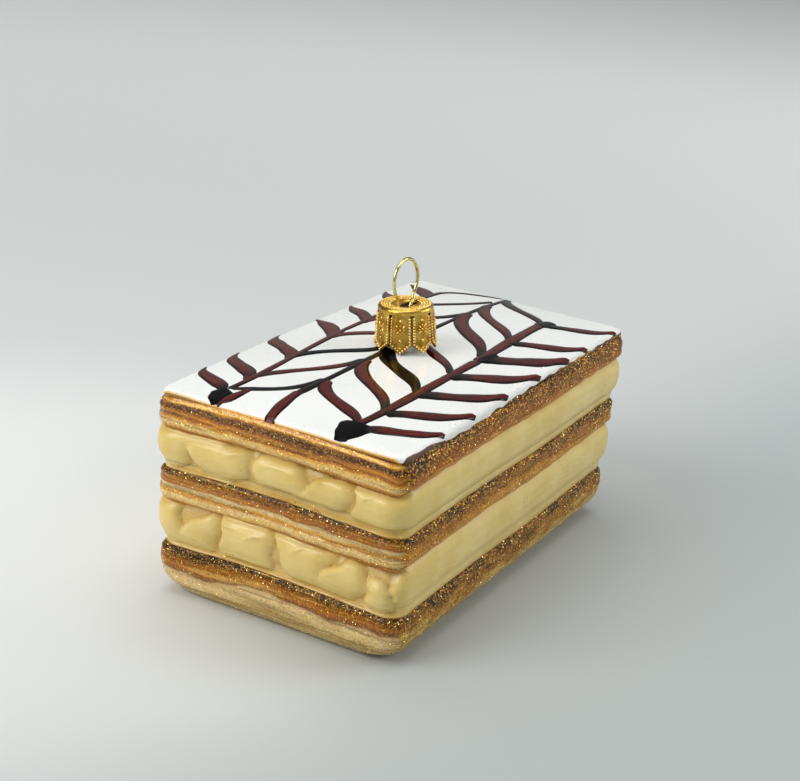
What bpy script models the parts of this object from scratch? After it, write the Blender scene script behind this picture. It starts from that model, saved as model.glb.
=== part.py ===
"""A blown-glass hanging ornament in the form of a mille feuille slice.

Three separate pieces: the glass body, whose mould gives it three pastry layers, two cream layers,
a domed icing top and the neck that the cap grips; the stamped metal cap with its eight petals;
and the wire hanger, whose two legs go through the cap's slot into the neck.

Metres, +Z up. The origin is the middle of the flat base. The slice's long side lies along X.
"""

import math

import bmesh
import bpy
from mathutils import Matrix, Vector

# --- Glass body -----------------------------------------------------------------------------
TOP_HALF_LENGTH = 0.0482  # at the edge of the icing
TOP_HALF_WIDTH = 0.0253
END_DRAFT = 0.086  # how far each end leans in, for each metre below the icing edge
PASTRY_CORNER = 0.0032
CREAM_CORNER = 0.0042

BASE_PASTRY = 0.0103
LOWER_CREAM = 0.0092
MIDDLE_PASTRY = 0.0064
UPPER_CREAM = 0.0081
TOP_PASTRY = 0.0061
ICING_SHOULDER = 0.0010
ICING_ARCH = 0.0004  # how much higher the icing's long edges are in the middle than at the ends
ICING_DOME = 0.0014
ICING_EDGE_Z = BASE_PASTRY + LOWER_CREAM + MIDDLE_PASTRY + UPPER_CREAM + TOP_PASTRY
CROWN_Z = ICING_EDGE_Z + ICING_SHOULDER + ICING_ARCH + ICING_DOME

# How far a layer swells past the groove lines: rings of
# (share of its thickness, swell of the ends, swell of the long sides, corner radius).
BASE_PASTRY_RINGS = (
    (0.00, -0.0024, -0.0050, 0.0060),
    (0.06, -0.0009, -0.0029, 0.0050),
    (0.16, 0.0000, -0.0015, 0.0042),
    (0.31, 0.0006, -0.0001, 0.0036),
    (0.53, 0.0010, 0.0009, PASTRY_CORNER),
    (0.80, 0.0010, 0.0010, PASTRY_CORNER),
)
PASTRY_RINGS = (
    (0.20, 0.0009, 0.0009, PASTRY_CORNER),
    (0.50, 0.0007, 0.0007, PASTRY_CORNER),
    (0.80, 0.0009, 0.0009, PASTRY_CORNER),
)
CREAM_RINGS = (
    (0.10, 0.0003, 0.0003, CREAM_CORNER),
    (0.24, 0.0005, 0.0005, CREAM_CORNER),
    (0.36, 0.0012, 0.0010, CREAM_CORNER),
    (0.58, 0.0014, 0.0013, CREAM_CORNER),
    (0.80, 0.0012, 0.0012, CREAM_CORNER),
    (0.94, 0.0006, 0.0006, CREAM_CORNER),
)

# Piped lobes on the two end faces: the valleys between them, as shares of the width.
UPPER_LOBE_VALLEYS = (0.13, 0.37, 0.59, 0.78)
LOWER_LOBE_VALLEYS = (0.13, 0.27, 0.52, 0.70, 0.86)
LOBE_DEPTH = 0.0019
LOBE_FOOT = 0.27  # the lobes stand on a plain strip, this share of the cream's thickness
GROOVE_WAVE = 0.00045  # how far the grooves between the layers wander up and down

CORNER_STEPS = 4
END_STEPS = 28
SIDE_STEPS = 10
DOME_RINGS = (0.985, 0.88, 0.66, 0.40)  # as shares of the icing outline

# --- Neck, cap and hanger, along their common axis -------------------------------------------
NECK_X = -0.0019
NECK_Y = 0.0007
NECK_LEAN = math.radians(4.6)
NECK_LEAN_TOWARDS = math.radians(119.0)  # from +X, seen from above
NECK_TURN = math.radians(-5.0)
TOUCH_GAP = 0.0003

NECK_RADIUS = 0.00465
NECK_BORE_RADIUS = 0.0039
NECK_BORE_DEPTH = 0.0100
NECK_ROOT = 0.0030  # how deep the neck is set into the body
NECK_SIDES = 24

CAP_LIFT = 0.0005  # from the icing's crown to the tips of the petals
CAP_HEIGHT = 0.0086
CAP_TOP_RADIUS = 0.0054
CAP_FOOT_RADIUS = 0.0060
CAP_RIM_ROUND = 0.0006
CAP_METAL = 0.0004
CAP_BAND = 0.0011  # plain band under the rim, above the slits
CAP_DISH = 0.0008  # how far the middle of the top is sunk
PETALS = 8
PETAL_STEPS = 4
PETAL_POINT = 0.0019
SLIT_WIDTH = 0.00035
SLOT_CENTRE = -0.00015
SLOT_HALF_LENGTH = 0.0033
SLOT_HALF_WIDTH = 0.0013

WIRE_RADIUS = 0.00035
LOOP_HALF_WIDTH = 0.0040
LOOP_HALF_HEIGHT = 0.00415
LOOP_CENTRE = 0.0045  # above the cap's top
LOOP_STEPS = 26
LOOP_OPEN = math.radians(80)  # the part of the round left open, where the legs turn in
LEG_STEP = 0.0009

CAP_TOP = CAP_LIFT + CAP_HEIGHT


def clear_scene():
    """Removes every object of the scene."""
    for item in list(bpy.data.objects):
        bpy.data.objects.remove(item, do_unlink=True)


def make_material(name, colour, roughness, metallic):
    """A Principled material with the finish of one piece."""
    material = bpy.data.materials.new(name)
    material.use_nodes = True
    shader = material.node_tree.nodes["Principled BSDF"]
    shader.inputs["Base Color"].default_value = (*colour, 1.0)
    shader.inputs["Roughness"].default_value = roughness
    shader.inputs["Metallic"].default_value = metallic
    return material


def link_object(name, data, material=None):
    """Puts a mesh or a curve in the scene under its piece's name."""
    item = bpy.data.objects.new(name, data)
    bpy.context.scene.collection.objects.link(item)
    if material is not None:
        data.materials.append(material)
    return item


def mesh_from_bmesh(name, form):
    """Turns a bmesh into a mesh whose faces all point outwards."""
    bmesh.ops.recalc_face_normals(form, faces=form.faces)
    mesh = bpy.data.meshes.new(name)
    form.to_mesh(mesh)
    form.free()
    return mesh


def shade_smooth(mesh, sharp_angle):
    """Smooth shading, with creases kept sharp."""
    mesh.shade_smooth()
    mesh.set_sharp_from_angle(angle=sharp_angle)


# --- Glass body -----------------------------------------------------------------------------
def half_length_at(height):
    """The groove line's half length at a height: the ends lean in towards the base."""
    return TOP_HALF_LENGTH - END_DRAFT * (ICING_EDGE_Z - height)


def outline(half_length, half_width, corner):
    """A rounded rectangle, as (point, outward normal) pairs, anticlockwise from the +X side."""
    points = []
    corners = ((1, 1, 0.0), (-1, 1, 0.5), (-1, -1, 1.0), (1, -1, 1.5))
    for index, (side_x, side_y, start) in enumerate(corners):
        middle = Vector((side_x * (half_length - corner), side_y * (half_width - corner)))
        for step in range(CORNER_STEPS + 1):
            angle = math.pi * (start + 0.5 * step / CORNER_STEPS)
            normal = Vector((math.cos(angle), math.sin(angle)))
            points.append((middle + corner * normal, normal))
        along_width = index % 2 == 1
        next_x, next_y, _ = corners[(index + 1) % 4]
        target = Vector((next_x * (half_length - corner), next_y * (half_width - corner)))
        target += corner * normal
        steps = END_STEPS if along_width else SIDE_STEPS
        begin = points[-1][0].copy()
        for step in range(1, steps):
            points.append((begin.lerp(target, step / steps), normal.copy()))
    return points


def lobe_fullness(share, valleys):
    """How full the piped cream is across an end face: 1 on a lobe's crown, 0 in a valley."""
    edges = (-0.06, *valleys, 1.06)
    for low, high in zip(edges, edges[1:]):
        if low <= share <= high:
            return math.sin(math.pi * (share - low) / (high - low)) ** 0.55
    return 0.0


def groove_wave(point):
    """The wander of a groove's height, the same on opposite ends turned half round."""
    along, across = (point.x / TOP_HALF_LENGTH, point.y / TOP_HALF_WIDTH)
    return GROOVE_WAVE * math.sin(2.6 * across + 1.9 * along) * math.cos(3.1 * along)


def body_ring(height, swells, corner, valleys=None, lobe_share=0.0, wave=0.0):
    """One ring of the body's side wall, as 3-D points; the swells are (ends, long sides)."""
    shape = outline(half_length_at(height) + swells[0], TOP_HALF_WIDTH + swells[1], corner)
    ring = []
    for point, normal in shape:
        place = point
        if valleys:
            share = 0.5 + math.copysign(0.5, point.x) * point.y / TOP_HALF_WIDTH
            hollow = 1.0 - lobe_fullness(share, valleys)
            place = point - normal * abs(normal.x) * LOBE_DEPTH * lobe_share * hollow
        ring.append(Vector((place.x, place.y, height + wave * groove_wave(point))))
    return ring


def dome_ring(share):
    """A ring of the icing's top, shrunk towards the middle and raised into the dome."""
    ring = []
    for point, _ in outline(TOP_HALF_LENGTH, TOP_HALF_WIDTH, PASTRY_CORNER):
        along = abs(share * point.x / TOP_HALF_LENGTH)
        across = abs(share * point.y / TOP_HALF_WIDTH)
        arch = ICING_ARCH * (1 - along**2)
        rise = ICING_DOME * (1 - along**4) * (1 - across**3)
        height = ICING_EDGE_Z + ICING_SHOULDER + arch + rise
        ring.append(Vector((share * point.x, share * point.y, height)))
    return ring


def side_wall_rings():
    """Every ring of the body from the flat base up to the crown of the icing."""
    layers = (
        (BASE_PASTRY, BASE_PASTRY_RINGS, None),
        (LOWER_CREAM, CREAM_RINGS, LOWER_LOBE_VALLEYS),
        (MIDDLE_PASTRY, PASTRY_RINGS, None),
        (UPPER_CREAM, CREAM_RINGS, UPPER_LOBE_VALLEYS),
        (TOP_PASTRY, PASTRY_RINGS, None),
    )
    rings = []
    bottom = 0.0
    for thickness, layer_rings, valleys in layers:
        for share, end_swell, side_swell, corner in layer_rings:
            height = bottom + share * thickness
            above_foot = max(0.0, (share - LOBE_FOOT) / (1 - LOBE_FOOT))
            lobes = math.sin(math.pi * above_foot) ** 0.5 if valleys else 0.0
            wave = 0.5 if height > 0.5 * BASE_PASTRY else 0.0
            swells = (end_swell, side_swell)
            rings.append(body_ring(height, swells, corner, valleys, lobes, wave))
        bottom += thickness
        rings.append(body_ring(bottom, (0.0, 0.0), PASTRY_CORNER, wave=1.0))
    rings.extend(dome_ring(share) for share in DOME_RINGS)
    return rings


def loft(form, rings):
    """Skins a stack of rings and closes its two ends: a face below, a fan above."""
    loops = [[form.verts.new(point) for point in ring] for ring in rings]
    count = len(loops[0])
    for low, high in zip(loops, loops[1:]):
        for i in range(count):
            j = (i + 1) % count
            form.faces.new((low[i], low[j], high[j], high[i]))
    form.faces.new(list(reversed(loops[0])))
    crown = form.verts.new((0.0, 0.0, CROWN_Z))
    for i in range(count):
        form.faces.new((loops[-1][i], loops[-1][(i + 1) % count], crown))


def neck_matrix():
    """The frame of the neck: its origin on the icing's crown, +Z along the leaning axis."""
    towards = Vector((math.cos(NECK_LEAN_TOWARDS), math.sin(NECK_LEAN_TOWARDS), 0.0))
    lean = Matrix.Rotation(NECK_LEAN, 4, Vector((0.0, 0.0, 1.0)).cross(towards))
    turn = Matrix.Rotation(NECK_TURN, 4, "Z")
    return Matrix.Translation((NECK_X, NECK_Y, CROWN_Z)) @ lean @ turn


def cylinder_object(name, radius, low, high, parent):
    """A round bar along the neck's axis, from one height to another."""
    form = bmesh.new()
    bmesh.ops.create_cone(
        form,
        cap_ends=True,
        segments=NECK_SIDES,
        radius1=radius,
        radius2=radius,
        depth=high - low,
        matrix=Matrix.Translation((0.0, 0.0, 0.5 * (low + high))),
    )
    item = link_object(name, mesh_from_bmesh(name, form))
    item.parent = parent
    item.hide_render = True
    item.display_type = "WIRE"
    return item


def add_boolean(item, operation, other):
    """Joins or cuts a piece with another object."""
    boolean = item.modifiers.new(f"{operation.lower()} {other.name}", "BOOLEAN")
    boolean.operation = operation
    boolean.solver = "EXACT"
    boolean.object = other


def make_glass_body(mount):
    """The one glass piece: the moulded slice with its neck and the neck's bore."""
    form = bmesh.new()
    loft(form, side_wall_rings())
    mesh = mesh_from_bmesh("glass_body", form)
    shade_smooth(mesh, math.radians(40))
    body = link_object(
        "glass_body", mesh, make_material("painted glass", (0.80, 0.66, 0.36), 0.3, 0.0)
    )
    neck_top = CAP_TOP - CAP_DISH - CAP_METAL - TOUCH_GAP
    neck = cylinder_object("neck_form", NECK_RADIUS, -NECK_ROOT, neck_top, mount)
    bore = cylinder_object(
        "bore_form", NECK_BORE_RADIUS, neck_top - NECK_BORE_DEPTH, neck_top + 0.002, mount
    )
    add_boolean(body, "UNION", neck)
    add_boolean(body, "DIFFERENCE", bore)
    return body


# --- Cap ------------------------------------------------------------------------------------
def cap_columns():
    """The angles round the cap: narrow columns for the slits, wider ones for the petals."""
    slit = SLIT_WIDTH / CAP_FOOT_RADIUS
    petal = 2 * math.pi / PETALS - slit
    columns = []
    for index in range(PETALS):
        start = 2 * math.pi * index / PETALS - 0.5 * slit
        columns.append((start, True, 0.0))
        for step in range(PETAL_STEPS):
            angle = start + slit + petal * step / PETAL_STEPS
            columns.append((angle, False, step / PETAL_STEPS))
    return columns


def slot_point(angle):
    """A point on the rounded slot in the cap's top, seen from its middle at an angle."""
    x, y = math.cos(angle), math.sin(angle)
    power = 3.0
    size = (abs(x / SLOT_HALF_LENGTH) ** power + abs(y / SLOT_HALF_WIDTH) ** power) ** (-1 / power)
    return SLOT_CENTRE + size * x, size * y


def cap_top_rings(columns):
    """The rings of the cap's top and plain band, from the slot outwards and down."""
    rings = []
    slot_ring = []
    for angle, _, _ in columns:
        x, y = slot_point(angle)
        slot_ring.append(Vector((x, y, CAP_TOP - CAP_DISH)))
    rings.append(slot_ring)
    inner = CAP_TOP_RADIUS - CAP_RIM_ROUND
    bow = CAP_RIM_ROUND * math.sqrt(0.5)
    profile = (
        (0.78 * inner, CAP_TOP - CAP_DISH),
        (0.88 * inner, CAP_TOP),
        (inner, CAP_TOP),
        (inner + bow, CAP_TOP - CAP_RIM_ROUND + bow),
        (CAP_TOP_RADIUS, CAP_TOP - CAP_RIM_ROUND),
        (CAP_TOP_RADIUS, CAP_TOP - CAP_BAND),
    )
    for radius, height in profile:
        rings.append([polar(radius, angle, height) for angle, _, _ in columns])
    return rings


def polar(radius, angle, height):
    """A point given by its distance from the axis, its angle and its height."""
    return Vector((radius * math.cos(angle), radius * math.sin(angle), height))


def petal_rings(columns):
    """The rings of the petals, the last one running along their pointed tips."""
    rings = []
    for share in (0.5, 1.0):
        ring = []
        for angle, _, across in columns:
            point_rise = PETAL_POINT * abs(2 * across - 1) if share == 1.0 else 0.0
            height = CAP_LIFT + point_rise
            if share < 1.0:
                height = CAP_LIFT + PETAL_POINT + share * (CAP_HEIGHT - CAP_BAND - PETAL_POINT)
            down = (CAP_TOP - CAP_BAND - height) / (CAP_HEIGHT - CAP_BAND)
            radius = CAP_TOP_RADIUS + (CAP_FOOT_RADIUS - CAP_TOP_RADIUS) * down
            ring.append(polar(radius, angle, height))
        rings.append(ring)
    return rings


def make_cap(mount):
    """The stamped cap: a sunk top with a slot, a rounded rim and eight pointed petals."""
    columns = cap_columns()
    top, petals = cap_top_rings(columns), petal_rings(columns)
    form = bmesh.new()
    loops = [[form.verts.new(point) for point in ring] for ring in top + petals]
    count = len(columns)
    for level, (upper, lower) in enumerate(zip(loops, loops[1:])):
        below_band = level >= len(top) - 1
        for i, (_, is_slit, _) in enumerate(columns):
            if below_band and is_slit:
                continue
            j = (i + 1) % count
            form.faces.new((upper[i], lower[i], lower[j], upper[j]))
    mesh = bpy.data.meshes.new("cap")
    form.to_mesh(mesh)
    form.free()
    mesh.shade_smooth()
    cap = link_object("cap", mesh, make_material("gold cap", (0.78, 0.53, 0.16), 0.28, 1.0))
    cap.parent = mount
    metal = cap.modifiers.new("metal", "SOLIDIFY")
    metal.thickness = CAP_METAL
    metal.offset = -1.0
    metal.use_even_offset = True
    return cap


# --- Hanger ---------------------------------------------------------------------------------
def loop_points():
    """The round part of the wire, from the left leg over the top to the right leg."""
    start = -0.5 * math.pi - 0.5 * LOOP_OPEN
    sweep = 2 * math.pi - LOOP_OPEN
    points = []
    for step in range(LOOP_STEPS + 1):
        angle = start - sweep * step / LOOP_STEPS
        height = CAP_TOP + LOOP_CENTRE + LOOP_HALF_HEIGHT * math.sin(angle)
        points.append(Vector((LOOP_HALF_WIDTH * math.cos(angle), 0.0, height)))
    return points


def smooth_route(stops, spacing):
    """Points along a Catmull-Rom curve through the stops, about a spacing apart."""
    route = []
    for i in range(len(stops) - 1):
        before = stops[max(i - 1, 0)]
        start, end = stops[i], stops[i + 1]
        after = stops[min(i + 2, len(stops) - 1)]
        steps = max(1, round((end - start).length / spacing))
        for step in range(steps):
            t = step / steps
            bend = 2 * before - 5 * start + 4 * end - after
            turn = 3 * start - before - 3 * end + after
            route.append(start + 0.5 * (t * (end - before) + t**2 * bend + t**3 * turn))
    route.append(stops[-1].copy())
    return route


def wire_route():
    """The whole wire: up from the bore, round the loop and down into the bore again."""
    left_leg = [
        Vector((-0.0024, 0.0000, CAP_TOP - 0.0070)),
        Vector((-0.0026, 0.0000, CAP_TOP - 0.0020)),
        Vector((-0.0027, 0.0000, CAP_TOP - 0.0004)),
    ]
    right_leg = [
        Vector((0.0021, -0.0003, CAP_TOP + 0.0003)),
        Vector((0.0009, -0.0004, CAP_TOP - 0.0006)),
        Vector((0.0008, -0.0003, CAP_TOP - 0.0024)),
        Vector((0.0020, 0.0000, CAP_TOP - 0.0070)),
    ]
    return smooth_route(left_leg + loop_points() + right_leg, LEG_STEP)


def make_hanger(mount):
    """The wire hanger, a bent round wire with flat ends."""
    curve = bpy.data.curves.new("hanger", "CURVE")
    curve.dimensions = "3D"
    curve.bevel_depth = WIRE_RADIUS
    curve.bevel_resolution = 2
    curve.use_fill_caps = True
    route = wire_route()
    spline = curve.splines.new("POLY")
    spline.points.add(len(route) - 1)
    for point, place in zip(spline.points, route):
        point.co = (*place, 1.0)
    material = make_material("brass wire", (0.80, 0.68, 0.40), 0.25, 1.0)
    hanger = link_object("hanger", curve, material)
    hanger.parent = mount
    return hanger


def main():
    """Builds the ornament's three pieces."""
    clear_scene()
    mount = bpy.data.objects.new("neck_axis", None)
    bpy.context.scene.collection.objects.link(mount)
    mount.matrix_world = neck_matrix()
    make_glass_body(mount)
    make_cap(mount)
    make_hanger(mount)
    bpy.context.view_layer.update()


main()
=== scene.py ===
"""Looks of a blown-glass hanging ornament in the form of a mille feuille slice.

Three bands of lacquered, glittered pastry, two bands of cream with piped lobes on the ends, a
domed white icing top feathered with chocolate strokes, a stamped gold cap and a brass wire loop.
Everything is in metres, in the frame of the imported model.
"""

import logging
import math
from collections.abc import Callable, Sequence
from dataclasses import dataclass, field
from enum import Enum

import bmesh
import bpy
import numpy as np
from mathutils import Matrix, Quaternion, Vector


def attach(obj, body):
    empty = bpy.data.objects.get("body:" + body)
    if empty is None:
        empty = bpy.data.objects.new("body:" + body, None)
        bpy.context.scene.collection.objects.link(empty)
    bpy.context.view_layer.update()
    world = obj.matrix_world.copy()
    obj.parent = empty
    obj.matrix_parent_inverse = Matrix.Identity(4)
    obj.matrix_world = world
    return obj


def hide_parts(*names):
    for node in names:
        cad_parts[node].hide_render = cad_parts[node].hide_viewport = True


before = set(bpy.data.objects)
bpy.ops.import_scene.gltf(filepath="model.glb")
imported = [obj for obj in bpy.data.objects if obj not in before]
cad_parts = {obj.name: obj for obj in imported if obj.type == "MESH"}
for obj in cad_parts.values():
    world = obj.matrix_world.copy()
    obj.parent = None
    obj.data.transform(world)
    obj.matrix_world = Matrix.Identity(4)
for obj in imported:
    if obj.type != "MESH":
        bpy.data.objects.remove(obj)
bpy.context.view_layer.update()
BODY = "root"
LOG = logging.getLogger("mille_feuille_ornament")

Colour = tuple[float, float, float]
Stops = tuple[tuple[float, Colour], ...]


class Slot(Enum):
    """The record's material slots."""

    GLASS = "painted_glass"
    ICING = "icing_enamel"
    PASTRY = "pastry_lacquer"
    CREAM = "cream_enamel"
    CHOCOLATE = "chocolate_enamel"
    GLITTER = "glitter"
    GOLD = "gold_cap"
    BRASS = "brass_wire"


class Kind(Enum):
    """What an edit-mode selection is made of."""

    POINTS = "VERT"
    EDGES = "EDGE"
    FACES = "FACE"


def tone(red: int, green: int, blue: int) -> Colour:
    """A linear colour from the three display values of a paint chip, each 0 to 255."""
    values = []
    for value in (red, green, blue):
        share = value / 255
        values.append(share / 12.92 if share <= 0.04045 else ((share + 0.055) / 1.055) ** 2.4)
    return tuple(values)


# --- Shader writing -------------------------------------------------------------------------
class Signal:
    """A shader node's output that takes part in Python arithmetic."""

    def __init__(self, paint: "Paint", socket: bpy.types.NodeSocket) -> None:
        """Wraps one output socket of a paint's node tree."""
        self.paint = paint
        self.socket = socket

    def __add__(self, other: "Signal | float") -> "Signal":
        """Adds."""
        return self.paint.math("ADD", self, other)

    __radd__ = __add__

    def __mul__(self, other: "Signal | float") -> "Signal":
        """Multiplies."""
        return self.paint.math("MULTIPLY", self, other)

    __rmul__ = __mul__

    def __sub__(self, other: "Signal | float") -> "Signal":
        """Takes the other away from this."""
        return self.paint.math("SUBTRACT", self, other)

    def __rsub__(self, other: "Signal | float") -> "Signal":
        """Takes this away from the other."""
        return self.paint.math("SUBTRACT", other, self)

    def __pow__(self, power: float) -> "Signal":
        """Raises this to a power."""
        return self.paint.math("POWER", self, power)

    def __abs__(self) -> "Signal":
        """The distance from nought."""
        return self.paint.math("ABSOLUTE", self)

    def least(self, other: "Signal | float") -> "Signal":
        """The smaller of the two."""
        return self.paint.math("MINIMUM", self, other)

    def most(self, other: "Signal | float") -> "Signal":
        """The larger of the two."""
        return self.paint.math("MAXIMUM", self, other)

    def rise(self, low: float, high: float) -> "Signal":
        """A soft step: 0 below low, 1 above high, or the reverse if high is below low."""
        settings = {"interpolation_type": "SMOOTHSTEP"}
        values = {"Value": self, "From Min": low, "From Max": high}
        if high < low:
            values = {"Value": self, "From Min": high, "From Max": low, "To Min": 1.0, "To Max": 0.0}
        return self.paint.node("ShaderNodeMapRange", settings, values)


class Paint:
    """One material: its node tree, with a Principled shader at the end."""

    def __init__(self, name: str, **constants: float | Sequence[float]) -> None:
        """Makes the material.

        Args:
            name: The material's name.
            constants: Principled sockets by name, with _ for a space, and their values.
        """
        self.material = bpy.data.materials.new(name)
        self.material.use_nodes = True
        self.tree = self.material.node_tree
        self.shader = self.tree.nodes["Principled BSDF"]
        for key, value in constants.items():
            self.shader.inputs[key.replace("_", " ")].default_value = value

    def node(
        self,
        kind: str,
        settings: dict | None = None,
        inputs: dict | None = None,
        output: str | int = 0,
    ) -> Signal:
        """Adds one node.

        Args:
            kind: The node's type.
            settings: The node's properties, set first; "stops" are a colour ramp's stops.
            inputs: Its sockets by name or number, with a value or a Signal for each.
            output: The output that is wanted.

        Returns:
            The wanted output.
        """
        made = self.tree.nodes.new(kind)
        for key, value in (settings or {}).items():
            if key == "stops":
                self._set_stops(made, value)
            else:
                setattr(made, key, value)
        for key, value in (inputs or {}).items():
            if isinstance(value, Signal):
                self.tree.links.new(value.socket, made.inputs[key])
            else:
                made.inputs[key].default_value = value
        return Signal(self, made.outputs[output])

    @staticmethod
    def _set_stops(ramp: bpy.types.Node, stops: Stops) -> None:
        """Gives a colour ramp its stops, which are in order."""
        elements = ramp.color_ramp.elements
        while len(elements) > 1:
            elements.remove(elements[-1])
        elements[0].position, elements[0].color = stops[0][0], (*stops[0][1], 1.0)
        for place, colour in stops[1:]:
            elements.new(place).color = (*colour, 1.0)

    def math(self, operation: str, *values: Signal | float) -> Signal:
        """A Math node on up to three values."""
        return self.node("ShaderNodeMath", {"operation": operation}, dict(enumerate(values)))

    def place(self) -> Signal:
        """The point on the piece, in metres."""
        return self.node("ShaderNodeTexCoord", output="Object")

    def stretch(self, vector: Signal, scale: Sequence[float]) -> Signal:
        """A vector multiplied by three factors."""
        return self.node(
            "ShaderNodeVectorMath", {"operation": "MULTIPLY"}, {0: vector, 1: tuple(scale)}
        )

    def part(self, vector: Signal, axis: str) -> Signal:
        """One component of a vector: X, Y or Z."""
        return self.node("ShaderNodeSeparateXYZ", None, {0: vector}, axis)

    def vector(self, x: Signal | float, y: Signal | float, z: Signal | float) -> Signal:
        """A vector from three numbers."""
        return self.node("ShaderNodeCombineXYZ", None, {0: x, 1: y, 2: z})

    def attribute(self, name: str) -> Signal:
        """A number that the piece's own mesh carries."""
        return self.node("ShaderNodeAttribute", {"attribute_name": name}, None, "Fac")

    def noise(self, vector: Signal, scale: float, detail: float = 3.0, rough: float = 0.55) -> Signal:
        """Soft noise about 0.5."""
        values = {"Vector": vector, "Scale": scale, "Detail": detail, "Roughness": rough}
        return self.node("ShaderNodeTexNoise", None, values)

    def cells(self, vector: Signal, scale: float, output: str) -> Signal:
        """A Voronoi pattern's Distance, Color or Position."""
        return self.node("ShaderNodeTexVoronoi", None, {"Vector": vector, "Scale": scale}, output)

    def ramp(self, value: Signal, stops: Stops) -> Signal:
        """A colour read off a row of stops."""
        return self.node("ShaderNodeValToRGB", {"stops": stops}, {"Fac": value}, "Color")

    def mix(self, share: Signal | float, low: Signal | Colour, high: Signal | Colour) -> Signal:
        """A colour between two others."""
        ends = [c if isinstance(c, Signal) else (*c, 1.0) for c in (low, high)]
        settings = {"data_type": "RGBA", "clamp_factor": True}
        return self.node("ShaderNodeMix", settings, {0: share, 6: ends[0], 7: ends[1]}, 2)

    def shade(self, colour: Signal, value: Signal) -> Signal:
        """A colour made darker or lighter by a factor."""
        return self.node(
            "ShaderNodeVectorMath", {"operation": "SCALE"}, {0: colour, "Scale": value}
        )

    def bump(self, height: Signal, depth: float, under: Signal | None = None) -> Signal:
        """A surface normal from a height between 0 and 1 and a depth in metres."""
        values: dict = {"Height": height, "Distance": depth, "Strength": 1.0}
        if under is not None:
            values["Normal"] = under
        return self.node("ShaderNodeBump", None, values, "Normal")

    def feed(self, **sockets: Signal) -> bpy.types.Material:
        """Links signals to the Principled shader's sockets, and returns the material."""
        for key, value in sockets.items():
            self.tree.links.new(value.socket, self.shader.inputs[key.replace("_", " ")])
        return self.material


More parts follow.
